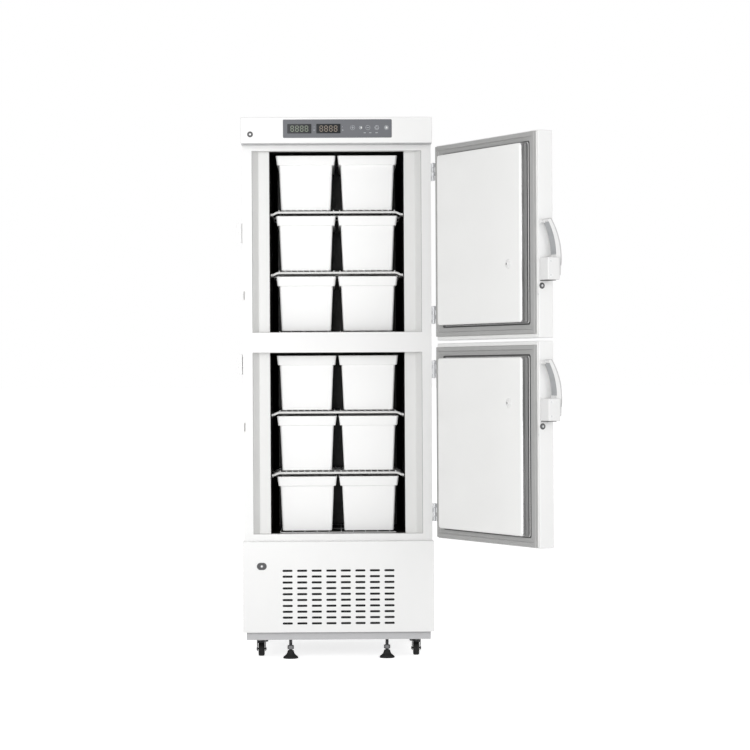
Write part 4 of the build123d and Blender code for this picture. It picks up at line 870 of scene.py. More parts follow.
# %% Gaskets
# The gasket starts this far inside the door's side, and at the mullion and outer edges
GASKET_SIDE, GASKET_MULLION, GASKET_OUTER = 9, 13, 4
# Each row is the inset from the outer edge and the height above the liner's flange
GASKET_SECTION = [
    (0.6, 0.0), (0.0, 1.0), (0.4, 3.6), (1.6, 4.6), (0.6, 5.6), (0.2, 7.2), (1.4, 8.2),
    (1.4, 8.7), (2.4, 9.7), (13.6, 9.7), (14.6, 8.9), (14.9, 6.6), (16.2, 5.0), (18.0, 4.0),
    (24.5, 3.6), (26.6, 2.6), (27.0, 1.0), (26.4, 0.0),
]


def gasket(name):
    """The gasket round one door, as one closed ring."""
    bm = bmesh.new()
    foot_y = DOOR_BACK_Y + FLANGE_RISE * MM
    z0 = DOOR_LOWS[name]
    low, high = (GASKET_MULLION, GASKET_OUTER) if name == "upper" else (GASKET_OUTER, GASKET_MULLION)
    rings = []
    for inset, rise in GASKET_SECTION:
        x0, x1 = DOOR_LEFT + (GASKET_SIDE + inset) * MM, DOOR_RIGHT - (GASKET_SIDE + inset) * MM
        z_low, z_high = z0 + (low + inset) * MM, z0 + DOOR_HEIGHT - (high + inset) * MM
        y = foot_y + rise * MM
        rings.append([(x1, y, z_high), (x0, y, z_high), (x0, y, z_low), (x1, y, z_low)])
    stack_rings(bm, rings, closed=True)
    add_piece(
        f"{name} door gasket", bm, vinyl, f"{name}_door", [f"{name}_door_gasket"], matrix=SWING,
    )


for name in DOOR_LOWS:
    gasket(name)
print("gaskets ready")

# %% [markdown]
# Between the gasket and the raised panel the flange is covered by a clamping strip. At the
# panel's foot a black ring is painted shade of the groove there. Both are flat rings with rounded
# corners. They could be cut out of a plate, but two outlines at two heights, closed into one ring,
# need no boolean.

# %% Clamping strips
# Margins at the side, mullion side and outer side, from the outside in
STRIP_OUTSIDE = (35, 39, 30)
GROOVE_OUTSIDE = (44.5, 43, 32.4)
GROOVE_INSIDE = (54.6, 48.6, 35.6)


def ring_strip(name, label, outside, inside, height, material):
    """A flat ring on the door's flange between two rounded rectangles."""
    foot_y = DOOR_BACK_Y + FLANGE_RISE * MM
    rings = []
    for margins, corner, rise in ((outside, 3, 0), (outside, 3, height), (inside, 9, height), (inside, 9, 0)):
        place = [m * MM for m in margins]
        rings.append(door_rectangle(name, place, foot_y + rise * MM, corner * MM))
    bm = bmesh.new()
    stack_rings(bm, rings, closed=True)
    add_piece(f"{name} {label}", bm, material, f"{name}_door", matrix=SWING)


for name in DOOR_LOWS:
    ring_strip(name, "clamping strip", STRIP_OUTSIDE, GROOVE_OUTSIDE, 2.4, vinyl)
    # The black ring at the panel's foot is painted shade of the groove.
    ring_strip(name, "panel groove", GROOVE_OUTSIDE, GROOVE_INSIDE, 0.8, groove_painted_shade)
print("clamping strips ready")

# %% [markdown]
# ## Hinges
# Four butt hinges carry the doors. Cabinet leaf and door leaf interlock in knuckles round one
# pin, so knuckles one and three belong to the cabinet and two and four to the door. Each
# knuckle has a small chamfer at both ends and each leaf two screws. Both leaves are the same
# part turned round, so one function draws either, forwards or backwards from the pin.

# %% Hinges
HINGE_HEIGHT, HINGE_INSET = 62 * MM, 90 * MM
PIN_X, PIN_Y = HINGE_PIN.x, HINGE_PIN.y
LEAF, LEAF_WIDTH, LEAF_OFFSET = 2 * MM, 40 * MM, 2.5 * MM
KNUCKLE_R, KNUCKLE_CHAMFER, KNUCKLE_GAP = 5.4 * MM, 0.7 * MM, 0.3 * MM
SCREW_IN, SCREW_SPREAD = 24 * MM, 17 * MM
# The pin's heads, as radius and height over its lower and its upper end
PIN_FOOT = [(2.5, -0.6), (2.9, 0), (2.5, 0.5)]
PIN_HEAD = [(2.5, -0.5), (3.4, 0), (2.6, 1)]


def add_screw(bm, matrix, r=3.4 * MM, rise=0.7 * MM):
    """A flat screw head with a cross recess drawn as a shallow dish."""
    profile = [(r, -0.5 * MM), (r, 0.2 * rise), (0.86 * r, rise), (0.45 * r, rise), (0.34 * r, 0.35 * rise)]
    add_turned(bm, profile, matrix, 24)


def hinge_heights(z0):
    """The middles of a door's two hinges."""
    return z0 + HINGE_INSET, z0 + DOOR_HEIGHT - HINGE_INSET


def add_leaf(bm, z, first, face_x, way):
    """A hinge leaf on a face, with every second knuckle. The way is 1 to the back, -1 to the front."""
    half, pitch = HINGE_HEIGHT / 2, HINGE_HEIGHT / 4
    web = PIN_Y + way * LEAF_OFFSET
    y0, y1 = sorted((web, web + way * LEAF_WIDTH))
    add_box(bm, (face_x, y0, z - half), (face_x + LEAF, y1, z + half))
    for n in range(first, 4, 2):
        low = z - half + n * pitch + KNUCKLE_GAP
        high = low + pitch - 2 * KNUCKLE_GAP
        narrow = KNUCKLE_R - KNUCKLE_CHAMFER
        profile = [
            (narrow, low), (KNUCKLE_R, low + KNUCKLE_CHAMFER), (KNUCKLE_R, high - KNUCKLE_CHAMFER),
            (narrow, high),
        ]
        add_turned(bm, profile, at(PIN_X, PIN_Y, 0), 32)
        y0, y1 = sorted((web, web + way * LEAF))
        add_box(bm, (face_x, y0, low), (PIN_X, y1, high))
    for dz in (-SCREW_SPREAD, SCREW_SPREAD):
        add_screw(bm, at(face_x + LEAF, web + way * SCREW_IN, z + dz, ALONG_X))


def cabinet_hinges():
    """All four cabinet leaves, with the pins."""
    bm = bmesh.new()
    half = HINGE_HEIGHT / 2 / MM
    pin = [(r, h - half) for r, h in PIN_FOOT] + [(r, h + half) for r, h in PIN_HEAD]
    for z0 in DOOR_LOWS.values():
        for z in hinge_heights(z0):
            add_leaf(bm, z, 0, CABINET_HALF, 1)
            add_turned(bm, in_mm(pin), at(PIN_X, PIN_Y, z), 24)
    add_piece(
        "cabinet hinge leaves", bm, hinge_steel, "cabinet", ["cabinet_hinge_leaves"],
        round_by=0.25 * MM, steps=1,
    )


def door_hinges(name):
    """Both leaves of one door."""
    bm = bmesh.new()
    for z in hinge_heights(DOOR_LOWS[name]):
        add_leaf(bm, z, 1, DOOR_RIGHT, -1)
    add_piece(
        f"{name} door hinge leaves", bm, hinge_steel, f"{name}_door",
        [f"{name}_door_hinge_leaves"], round_by=0.25 * MM, steps=1, matrix=SWING,
    )


cabinet_hinges()
for name in DOOR_LOWS:
    door_hinges(name)
print("hinges ready")

# %% [markdown]
# ## Latches
# A cast housing is screwed to each door's free edge, and the lever turns on a pin in it. The
# casting's soft edges come from one bevel round a box. The room for the lever is cut out after
# that, so that its edges stay crisp, as milled ones are.

# %% Latch housings
LATCH_WIDTH, LATCH_DEPTH, LATCH_HEIGHT = 50 * MM, 46 * MM, 74 * MM
LATCH_BACK_Y = DOOR_BACK_Y - 4 * MM
LATCH_FRONT_Y = LATCH_BACK_Y - LATCH_DEPTH
LEVER_MIDDLE_X = DOOR_LEFT - LATCH_WIDTH / 2
LEVER_LEFT, LEVER_RIGHT = LEVER_MIDDLE_X - 15 * MM, LEVER_MIDDLE_X + 21 * MM
LEVER_PIN_R, LEVER_PIN_Y = 3 * MM, LATCH_FRONT_Y + 10 * MM
LEVER_PIN_DROP = LATCH_HEIGHT / 2 - 18 * MM
HOUSING_SCREW_RISES = (-22 * MM, 24 * MM)


def latch_housing(name):
    """The housing beside one door, with the lever's pin, its screws and a dark plate of painted shadow under
    it.
    """
    z = LATCH_HEIGHTS[name]
    half = LATCH_HEIGHT / 2
    bm = bmesh.new()
    add_box(bm, (DOOR_LEFT - LATCH_WIDTH, LATCH_FRONT_Y, z - half), (DOOR_LEFT, LATCH_BACK_Y, z + half))
    case = add_piece(
        f"{name} latch housing", bm, latch_paint, f"{name}_door",
        [f"{name}_latch_housing"], round_by=3.2 * MM, steps=5,
    )
    room = bmesh.new()
    pin_z = z - LEVER_PIN_DROP
    add_box(
        room, (LEVER_LEFT - 1 * MM, LATCH_FRONT_Y - 5 * MM, pin_z - 10 * MM),
        (LEVER_RIGHT + 1 * MM, LEVER_PIN_Y + 10 * MM, z + half + 5 * MM),
    )
    cut_away(case, [room])
    case.data.transform(SWING)
    fittings = bmesh.new()
    pin_left, pin_right = LEVER_LEFT - LEVER_MIDDLE_X - 4 * MM, LEVER_RIGHT - LEVER_MIDDLE_X + 3 * MM
    add_turned(
        fittings, [(LEVER_PIN_R, pin_left), (LEVER_PIN_R, pin_right)],
        at(LEVER_MIDDLE_X, LEVER_PIN_Y, pin_z, ALONG_X), 24,
    )
    screw_x, screw_y = DOOR_LEFT - LATCH_WIDTH + 0.5 * MM, LATCH_BACK_Y - 11 * MM
    for dz in HOUSING_SCREW_RISES:
        add_screw(fittings, at(screw_x, screw_y, z + dz, ALONG_X.inverted()))
    add_piece(f"{name} latch pin and screws", fittings, zinc, f"{name}_door", matrix=SWING)
    # A thin dark plate under the housing is painted shadow.
    base = bmesh.new()
    add_box(
        base, (DOOR_LEFT - LATCH_WIDTH + 6 * MM, LATCH_BACK_Y - 34 * MM, z - half - 2 * MM),
        (DOOR_LEFT, LATCH_BACK_Y - 2 * MM, z - half + 1 * MM),
    )
    add_piece(f"{name} latch base", base, black_plastic_and_shade, f"{name}_door", matrix=SWING)


for name in DOOR_LOWS:
    latch_housing(name)
print("latch housings ready")

# %% [markdown]
# The lever's side view is two bows that run almost side by side, from a thin tip to a thick
# foot round the pin. Free curves could be traced, but the real casting was drawn with arcs, so
# each bow is the circle through three points, which are the sizes that a maker would give.

# %% The lever's side view
# Distances in front of the door's back and heights over the latch's middle
LEVER_TIP_OUT, LEVER_TIP_IN, LEVER_TIP_SLANT = 24 * MM, 10 * MM, 4 * MM
LEVER_BOW_OUT, LEVER_BOW_IN, LEVER_BOW_SHARE = 56.5 * MM, 38 * MM, 0.555
LEVER_LOW_OUT, LEVER_LOW_IN = 62 * MM, 43 * MM
LEVER_LOW_RISE, LEVER_THROAT_RISE = 10 * MM, 46 * MM
LEVER_FOOT_OUT, LEVER_REACH = 60 * MM, 164 * MM


def arc_through(start, middle, stop, steps=14):
    """Points on the circle through three points of a side view."""
    (ay, az), (by, bz), (cy, cz) = start, middle, stop
    d = 2 * (ay * (bz - cz) + by * (cz - az) + cy * (az - bz))
    a2, b2, c2 = ay ** 2 + az ** 2, by ** 2 + bz ** 2, cy ** 2 + cz ** 2
    oy = (a2 * (bz - cz) + b2 * (cz - az) + c2 * (az - bz)) / d
    oz = (a2 * (cy - by) + b2 * (ay - cy) + c2 * (by - ay)) / d
    r = math.hypot(ay - oy, az - oz)
    first = math.atan2(az - oz, ay - oy)
    last = math.atan2(cz - oz, cy - oy)
    while last - first > math.pi:
        last -= 2 * math.pi
    while last - first < -math.pi:
        last += 2 * math.pi
    spread = [first + (last - first) * n / steps for n in range(steps + 1)]
    return [(oy + r * math.cos(t), oz + r * math.sin(t)) for t in spread]


def lever_bows(z):
    """The outer and inner edges of the lever's side view, from its tip down to the housing."""
    y = DOOR_BACK_Y
    tip, bow = z + LEVER_REACH, z + LEVER_BOW_SHARE * LEVER_REACH
    outer = arc_through(
        (y - LEVER_TIP_OUT, tip), (y - LEVER_BOW_OUT, bow), (y - LEVER_LOW_OUT, z + LEVER_LOW_RISE),
    )
    inner = arc_through(
        (y - LEVER_TIP_IN, tip - LEVER_TIP_SLANT), (y - LEVER_BOW_IN, bow),
        (y - LEVER_LOW_IN, z + LEVER_THROAT_RISE),
    )
    return outer, inner


def add_side_prism(bm, outline, x0, x1):
    """Pushes an outline in YZ along X and closes both ends."""
    stack_rings(bm, [[(x, y, z) for y, z in outline] for x in (x0, x1)])


print("reach of the levers", round(LEVER_REACH, 3), "m")

# %% [markdown]
# The lever is a channel, whose hollow faces the cabinet. Its painted body carries two more
# parts: a grey sheet of painted shade on the floor of the hollow, and a grey band of painted shade
# over the rounded outer bow. They are pieces of their own, made from the same bows, so that each
# has its own finish. The hook at the top is drawn where it grips, and turned back with the lever
# by the angle between the two.

# %% Latch levers
CHANNEL_WALL, CHANNEL_DEPTH, CHANNEL_MOUTH = 1.2 * MM, 3 * MM, 8 * MM
CHANNEL_SPAN = (44 * MM, 158 * MM)
HOLLOW_SHADE_THICK, HOLLOW_SHADE_WALL = 2.4 * MM, 1.1 * MM
BOW_SHADE_DEPTH, BOW_SHADE_PROUD, BOW_SHADE_WIDER = 5 * MM, 0.3 * MM, 0.4 * MM
SILL_RISE, PLATE, STRIKE_Y = 144 * MM, 3 * MM, FRONT_Y + 5 * MM
HOOK_WIDTH, HOOK_X1 = 5 * MM, LEVER_MIDDLE_X + 15.5 * MM
LATCHED_ANGLE = math.radians(7)


def lever_hook(z, pin_z):
    """The hook behind the strike plate, turned back with the open lever."""
    hook = bmesh.new()
    sill = z + SILL_RISE
    behind, root_y = STRIKE_Y + PLATE, DOOR_BACK_Y - 2 * MM
    outline = [
        (root_y, sill + 0.5 * MM), (behind + 0.5 * MM, sill + 0.5 * MM),
        (behind + 0.5 * MM, sill - 3 * MM), (behind + 4.5 * MM, sill - 3 * MM),
        (behind + 4.5 * MM, sill + 6.5 * MM), (behind + 2.5 * MM, sill + 8.5 * MM),
        (root_y, sill + 8.5 * MM),
    ]
    add_side_prism(hook, outline, HOOK_X1 - HOOK_WIDTH, HOOK_X1)
    root = Vector((0, LEVER_PIN_Y, pin_z))
    turn = Matrix.Rotation(LATCHED_ANGLE, 4, "X")
    hook.transform(Matrix.Translation(root) @ turn @ Matrix.Translation(-root))
    return hook


def latch_lever(name):
    """One lever with its hook and the painted shade in its hollow and on its outer bow."""
    z = LATCH_HEIGHTS[name]
    pin_z = z - LEVER_PIN_DROP
    outer, inner = lever_bows(z)
    foot = [
        (DOOR_BACK_Y - LEVER_FOOT_OUT, pin_z - 2 * MM), (LEVER_PIN_Y - 4 * MM, pin_z - 7 * MM),
        (LEVER_PIN_Y + 4 * MM, pin_z - 6.5 * MM), (LEVER_PIN_Y + 7 * MM, pin_z + 3 * MM),
    ]
    x0, x1 = LEVER_LEFT, LEVER_RIGHT
    bm = bmesh.new()
    add_side_prism(bm, outer + foot + inner[::-1], x0, x1)
    grip = add_piece(
        f"{name} latch lever", bm, latch_paint, f"{name}_lever",
        [f"{name}_latch_lever"], round_by=1.6 * MM, steps=3,
    )
    bow = [(y, h) for y, h in inner if z + CHANNEL_SPAN[0] < h < z + CHANNEL_SPAN[1]]
    channel_floor = [(y - CHANNEL_DEPTH, h) for y, h in bow]
    mouth = [(y + CHANNEL_MOUTH, h) for y, h in bow]
    hollow = bmesh.new()
    add_side_prism(hollow, channel_floor + mouth[::-1], x0 + CHANNEL_WALL, x1 - CHANNEL_WALL)
    cut_away(grip, [hollow])
    grip.data.transform(SWING)
    add_piece(
        f"{name} lever hook", lever_hook(z, pin_z), latch_paint, f"{name}_lever",
        round_by=0.6 * MM, steps=2, matrix=SWING,
    )
    # A grey sheet on the hollow's floor is painted shade.
    hollow_shade = bmesh.new()
    raised = [(y + HOLLOW_SHADE_THICK, h) for y, h in channel_floor]
    add_side_prism(hollow_shade, channel_floor + raised[::-1], x0 + HOLLOW_SHADE_WALL, x1 - HOLLOW_SHADE_WALL)
    add_piece(f"{name} lever lining", hollow_shade, hollow_shade_grey, f"{name}_lever", matrix=SWING)
    # A grey band over the outer bow is painted shade of its rounded edge.
    bow_shade = bmesh.new()
    rim = [(y + BOW_SHADE_DEPTH, h) for y, h in outer]
    proud = [(y - BOW_SHADE_PROUD, h) for y, h in outer]
    add_side_prism(bow_shade, proud + rim[::-1], x0 - BOW_SHADE_WIDER, x1 + BOW_SHADE_WIDER)
    add_piece(
        f"{name} lever cover", bow_shade, bow_shade_grey, f"{name}_lever",
        round_by=1.2 * MM, steps=3, matrix=SWING,
    )


for name in DOOR_LOWS:
    latch_lever(name)
print("latch levers ready")

# %% [markdown]
# The strike is an angle of thick sheet on the cabinet's side. Its front flange has a window that
# the hook drops into, so it is a pierced plate like the grille, with its outer corners cut off.
# The other flange is a box with two screws.

# %% Strike plates
STRIKE_HALF, STRIKE_OUT, STRIKE_DEEP = 35 * MM, 21 * MM, 30 * MM
STRIKE_MIDDLE_RISE = 155 * MM
STRIKE_SCREW_Y, STRIKE_SCREW_SPREAD = STRIKE_Y + 18 * MM, 24 * MM
# The window's left and right edges from the hook's left side, and its height
WINDOW_LEFT, WINDOW_RIGHT, WINDOW_TALL = -1.5 * MM, 6.5 * MM, 15.5 * MM


def add_strike(bm, name):
    """Adds the strike beside one latch."""
    sill = LATCH_HEIGHTS[name] + SILL_RISE
    middle = LATCH_HEIGHTS[name] + STRIKE_MIDDLE_RISE
    low, high = middle - STRIKE_HALF, middle + STRIKE_HALF
    side_x = -CABINET_HALF - PLATE
    add_box(bm, (side_x, STRIKE_Y, low), (-CABINET_HALF, STRIKE_Y + STRIKE_DEEP, high))
    u0, u1 = -CABINET_HALF - STRIKE_OUT, -CABINET_HALF
    outline = [
        (u1, low), (u1, high), (u0 + 7 * MM, high), (u0 + 3 * MM, high - 2 * MM), (u0, high - 7 * MM),
        (u0, low + 7 * MM), (u0 + 3 * MM, low + 2 * MM), (u0 + 7 * MM, low),
    ]
    left, right = HOOK_X1 - HOOK_WIDTH + WINDOW_LEFT, HOOK_X1 - HOOK_WIDTH + WINDOW_RIGHT
    window = [(left, sill), (right, sill), (right, sill + WINDOW_TALL), (left, sill + WINDOW_TALL)]
    turn = at(0, STRIKE_Y + PLATE / 2, 0, TOWARDS_FRONT)
    join_mesh(bm, pierced_plate("plate", outline, [window], PLATE, 0.5 * MM, turn))
    for dz in (-STRIKE_SCREW_SPREAD, STRIKE_SCREW_SPREAD):
        add_screw(bm, at(side_x, STRIKE_SCREW_Y, middle + dz, ALONG_X.inverted()))


strikes = bmesh.new()
for name in DOOR_LOWS:
    add_strike(strikes, name)
add_piece("latch strikes", strikes, enamel, "cabinet", ["latch_strikes"])
print("strike plates ready")

# %% [markdown]
# ## Locks
# Under each latch a round cam lock sits in the door's edge. Its barrel is turned metal with a
# keyway, and a paler core shows in its middle. The keyway is the one part that turning can't
# make, so a thin box is cut out of the barrel and a shorter one out of the core.

# %% Lock barrels
BARREL_LENGTH, BARREL_CHAMFER = 18 * MM, 0.6 * MM
BARREL_KEYWAY, CORE_KEYWAY = (1.6 * MM, 8 * MM), (1.0 * MM, 4.6 * MM)
KEYWAY_DEPTH = 3 * MM
SLEEVE_R, SLEEVE_RISE, SLEEVE_DEPTH = 10 * MM, 2 * MM, 3 * MM


def sleeve_profile(inner):
    """The section of a lock's ring round a bore of this radius."""
    return [
        (SLEEVE_R, -SLEEVE_DEPTH), (SLEEVE_R, SLEEVE_RISE * 0.5), (SLEEVE_R - 0.8 * MM, SLEEVE_RISE),
        (inner + 0.5 * MM, SLEEVE_RISE), (inner, SLEEVE_RISE - 0.5 * MM), (inner, -SLEEVE_DEPTH),
    ]


def key_slot(width, length, top):
    """A cutter for a keyway whose mouth is at this height."""
    bm = bmesh.new()
    add_box(bm, (-width / 2, -length / 2, top - KEYWAY_DEPTH), (width / 2, length / 2, top + 1 * MM))
    return bm


def lock_barrel(label, body, node, matrix, r, proud):
    """A barrel along local Z and its core, which end at Z = proud, moved into place together."""
    upright = Matrix.Identity(4)
    bm = bmesh.new()
    add_turned(
        bm, [(r, -BARREL_LENGTH), (r, proud - BARREL_CHAMFER), (r - BARREL_CHAMFER, proud)], upright, 40,
    )
    barrel = add_piece(label, bm, barrel_metal, body, [node])
    cut_away(barrel, [key_slot(*BARREL_KEYWAY, proud)])
    barrel.data.transform(matrix)
    bm = bmesh.new()
    add_turned(
        bm, [(3.4 * MM, proud - 0.4 * MM), (3.4 * MM, proud + 0.2 * MM), (3.1 * MM, proud + 0.3 * MM)],
        upright, 32,
    )
    core = add_piece(f"{label} core", bm, core_metal, body)
    cut_away(core, [key_slot(*CORE_KEYWAY, proud)])
    core.data.transform(matrix)


# %% [markdown]
# In the doors the barrel turns a hooked bolt, which swings through the slot in the door's flange
# into the cabinet. The bolt is flat sheet, so its outline is drawn from the side, with the nose
# as an arc about the barrel's axis, and given the sheet's thickness.

# %% Door locks
DOOR_BARREL_R, DOOR_BARREL_PROUD = 7 * MM, 3 * MM
BORE_CLEAR = 0.05 * MM
BOLT_SHEET, BOLT_IN = 3 * MM, 4 * MM
BOLT_HALF, BOLT_TOP, BOLT_HOOK_OUT = 4 * MM, 3 * MM, 12 * MM
BOLT_R, BOLT_HOOK_DROP = 32 * MM, 25.7 * MM


def lock_bolt(z):
    """The hooked bolt of a lock at this height."""
    outline = [
        (LOCK_Y - BOLT_HALF, z + BOLT_TOP), (LOCK_Y + BOLT_HALF, z + BOLT_TOP),
        (LOCK_Y + BOLT_HALF, z - BOLT_HOOK_DROP), (LOCK_Y + BOLT_HOOK_OUT, z - BOLT_HOOK_DROP),
    ]
    for degrees in reversed(range(-7, 23, 3)):
        angle = math.radians(degrees)
        outline.append((LOCK_Y + BOLT_R * math.sin(angle), z - BOLT_R * math.cos(angle)))
    bm = bmesh.new()
    add_side_prism(bm, outline, DOOR_LEFT + BOLT_IN, DOOR_LEFT + BOLT_IN + BOLT_SHEET)
    return bm


for name in DOOR_LOWS:
    z = LATCH_HEIGHTS[name] - LOCK_DROP
    outwards = at(DOOR_LEFT, LOCK_Y, z, ALONG_X.inverted())
    bm = bmesh.new()
    add_turned(bm, sleeve_profile(DOOR_BARREL_R + BORE_CLEAR), outwards, 40)
    add_piece(f"{name} lock ring", bm, bezel_metal, f"{name}_door", matrix=SWING)
    lock_barrel(
        f"{name} lock barrel", f"{name}_lock", f"{name}_lock_barrel", SWING @ outwards,
        DOOR_BARREL_R, DOOR_BARREL_PROUD,
    )
    add_piece(
        f"{name} lock bolt", lock_bolt(z), zinc, f"{name}_lock",
        round_by=0.4 * MM, steps=2, matrix=SWING,
    )
print("door locks ready")

# %% [markdown]
# ## Control fascia
# A folded white box covers the top of the cabinet. A rounded box gives its outside, as nothing
# shows its hollow back. Its lower side lies in shade, so a grey sheet closes it, which keeps the
# joint above the upper door as dark as it looks on the real cabinet.

# %% Fascia box
FASCIA_LOW = TOP_Z - 90 * MM
PANEL_GAP = 0.2 * MM

bm = bmesh.new()
add_box(bm, (-PANEL_HALF, FACE_Y, FASCIA_LOW), (PANEL_HALF, FRONT_Y - PANEL_GAP, TOP_Z))
add_piece(
    "control fascia", bm, enamel, "cabinet", ["control_fascia"],
    round_by=2.5 * MM, steps=4,
)
# The grey sheet under the fascia is painted shade.
bm = bmesh.new()
add_box(
    bm, (-PANEL_HALF + 2 * MM, FACE_Y + 1 * MM, FASCIA_LOW - 1.4 * MM),
    (PANEL_HALF - 2 * MM, FRONT_Y - 2 * PANEL_GAP, FASCIA_LOW + 0.2 * MM),
)
add_piece("fascia underside shade", bm, base_paint_and_shade, "cabinet")
print("fascia box ready")

# %% [markdown]
# The controls lie under a grey plastic film with two windows in it. Film and windows are thin
# plates with rounded corners. The film's faces are shaded flat, so that its thin rounded edge
# can't shade the whole of it.

# %% Overlay and windows
OVERLAY_X, OVERLAY_Z = 4 * MM, 1842 * MM
OVERLAY_W, OVERLAY_H, OVERLAY_R = 378 * MM, 64 * MM, 4 * MM
OVERLAY_SHEET, OVERLAY_EDGE = 1.2 * MM, 0.2 * MM
OVERLAY_FACE_Y = FACE_Y - 0.3 * MM
WINDOW_XS = (-128 * MM, -27 * MM)
WINDOW_W, WINDOW_H, WINDOW_R = 84 * MM, 33 * MM, 1.2 * MM
WINDOW_SHEET, WINDOW_EDGE = 0.6 * MM, 0.15 * MM
WINDOW_FACE_Y = FACE_Y - 0.45 * MM

film = pierced_plate(
    "control overlay", rounded_outline(OVERLAY_W / 2, OVERLAY_H / 2, OVERLAY_R, 6), [],
    OVERLAY_SHEET, OVERLAY_EDGE,
    at(OVERLAY_X, OVERLAY_FACE_Y + OVERLAY_SHEET / 2, OVERLAY_Z, TOWARDS_FRONT),
)
for polygon in film.polygons:
    polygon.use_smooth = False
add_mesh("control overlay", film, membrane, "cabinet", ["control_overlay"])
windows = bmesh.new()
for x in WINDOW_XS:
    outline = rounded_outline(WINDOW_W / 2, WINDOW_H / 2, WINDOW_R, 4)
    place = at(x, WINDOW_FACE_Y + WINDOW_SHEET / 2, OVERLAY_Z, TOWARDS_FRONT)
    join_mesh(windows, pierced_plate("window", outline, [], WINDOW_SHEET, WINDOW_EDGE, place))
add_piece("display windows", windows, lens, "cabinet", ["display_windows"])
print("overlay and windows ready")

# %% [markdown]
# Each display has four digits of seven segments. The segments that are off still show as
# paler bars behind the lens. A picture on the window could show them, but real bars need no
# image and stay sharp, so every bar is a thin six-sided plate.

# %% Display digits
DIGIT_W, DIGIT_H, STROKE = 9.5 * MM, 19 * MM, 2.2 * MM
DIGIT_COUNT, DIGIT_PITCH, SEGMENT_GAP = 4, 16.5 * MM, 0.7 * MM
SEGMENT_BACK_Y, SEGMENT_FACE_Y = WINDOW_FACE_Y + 0.1 * MM, WINDOW_FACE_Y - 0.08 * MM


def segment_bars():
    """The seven bars of a digit, each as a centre, a length and whether it stands upright."""
    w, h = DIGIT_W / 2, DIGIT_H / 2
    flat = [(0, v, 2 * (w - SEGMENT_GAP), False) for v in (-h, 0, h)]
    tall = [(u, v, h - 2 * SEGMENT_GAP, True) for u in (-w, w) for v in (-h / 2, h / 2)]
    return flat + tall


def add_digits(bm, x, z):
    """Adds one display's digits about its middle."""
    s = STROKE / 2
    for n in range(DIGIT_COUNT):
        x0 = x + (n - (DIGIT_COUNT - 1) / 2) * DIGIT_PITCH
        for u, v, length, upright in segment_bars():
            half = length / 2
            outline = [(-half, 0), (-half + s, s), (half - s, s), (half, 0), (half - s, -s), (-half + s, -s)]
            if upright:
                outline = [(b, a) for a, b in outline]
            bar = [(x0 + u + a, z + v + b) for a, b in outline]
            add_prism(bm, bar, SEGMENT_BACK_Y, SEGMENT_FACE_Y)


for x, finish, side in zip(WINDOW_XS, (dim_segments, warm_segments), ("left", "right")):
    bm = bmesh.new()
    add_digits(bm, x, OVERLAY_Z)
    add_piece(f"{side} display digits", bm, finish, "cabinet")
print("display digits ready")

# %% [markdown]
# The keys are printed on the film: an eight-sided frame round four of the five keys and a plain
# generic sign in it, such as a plus, a bar or a ring. Below them are three short bars, and beside
# each window a square and a small ring. The print is a layer of thin plates on the film, as an
# image texture would blur when the camera comes near.

# %% Key signs
KEY_Z = OVERLAY_Z + 3 * MM
PLUS_X, LAMP_KEY_X, MINUS_X, SWITCH_X, RING_X = [x * MM for x in (57, 85, 110, 141, 174)]
PRINT_BACK_Y, PRINT_FACE_Y = OVERLAY_FACE_Y + 0.05 * MM, OVERLAY_FACE_Y - 0.06 * MM
STROKE_LENGTH, STROKE_WIDTH = 9 * MM, 1.4 * MM
BAR_XS, BAR_Z = (99 * MM, 118 * MM, 140 * MM), OVERLAY_Z - 15 * MM
UNIT_XS = (-77 * MM, 22 * MM)


def mark_box(bm, x, z, w, h):
    """Prints an upright rectangle about its middle."""
    x0, x1, z0, z1 = x - w / 2, x + w / 2, z - h / 2, z + h / 2
    add_prism(bm, [(x0, z0), (x1, z0), (x1, z1), (x0, z1)], PRINT_BACK_Y, PRINT_FACE_Y)


def mark_ring(bm, x, z, r, stroke, sides=20, start=0.0, turn=2 * math.pi):
    """Prints a ring, or part of one, as short strips."""
    for n in range(sides):
        a, b = (start + turn * (n + e) / sides for e in (0, 1))
        corners = ((r, a), (r, b), (r - stroke, b), (r - stroke, a))
        strip = [(x + k * math.cos(t), z + k * math.sin(t)) for k, t in corners]
        add_prism(bm, strip, PRINT_BACK_Y, PRINT_FACE_Y)


marks = bmesh.new()
for x in (PLUS_X, MINUS_X):
    mark_box(marks, x, KEY_Z, STROKE_LENGTH, STROKE_WIDTH)
mark_box(marks, PLUS_X, KEY_Z, STROKE_WIDTH, STROKE_LENGTH)
for x in (PLUS_X, MINUS_X, SWITCH_X, RING_X):
    mark_ring(marks, x, KEY_Z, 8.4 * MM, 0.9 * MM, 8)
mark_ring(marks, LAMP_KEY_X, KEY_Z, 5.6 * MM, 1.3 * MM)
mark_box(marks, LAMP_KEY_X, KEY_Z + 0.4 * MM, 1.2 * MM, 5 * MM)
mark_ring(marks, SWITCH_X, KEY_Z, 5.2 * MM, 1.3 * MM, start=2.2, turn=4.9)
mark_box(marks, SWITCH_X, KEY_Z + 4.6 * MM, 1.3 * MM, 5 * MM)
mark_ring(marks, RING_X, KEY_Z, 5.6 * MM, 2.6 * MM)
for x in BAR_XS:
    mark_box(marks, x, BAR_Z, 8 * MM, 2.2 * MM)
for x in UNIT_XS:
    mark_box(marks, x, OVERLAY_Z + 6 * MM, 2.0 * MM, 2.0 * MM)
    mark_ring(marks, x + 0.5 * MM, OVERLAY_Z - 5 * MM, 2.4 * MM, 0.9 * MM, 14)
add_piece("key signs", marks, key_print, "cabinet")
print("key signs ready")

# %% [markdown]
# Two keys have a small white lamp. The same ring helper draws it, as wide as its own radius, so
# that it is all but a full disc.

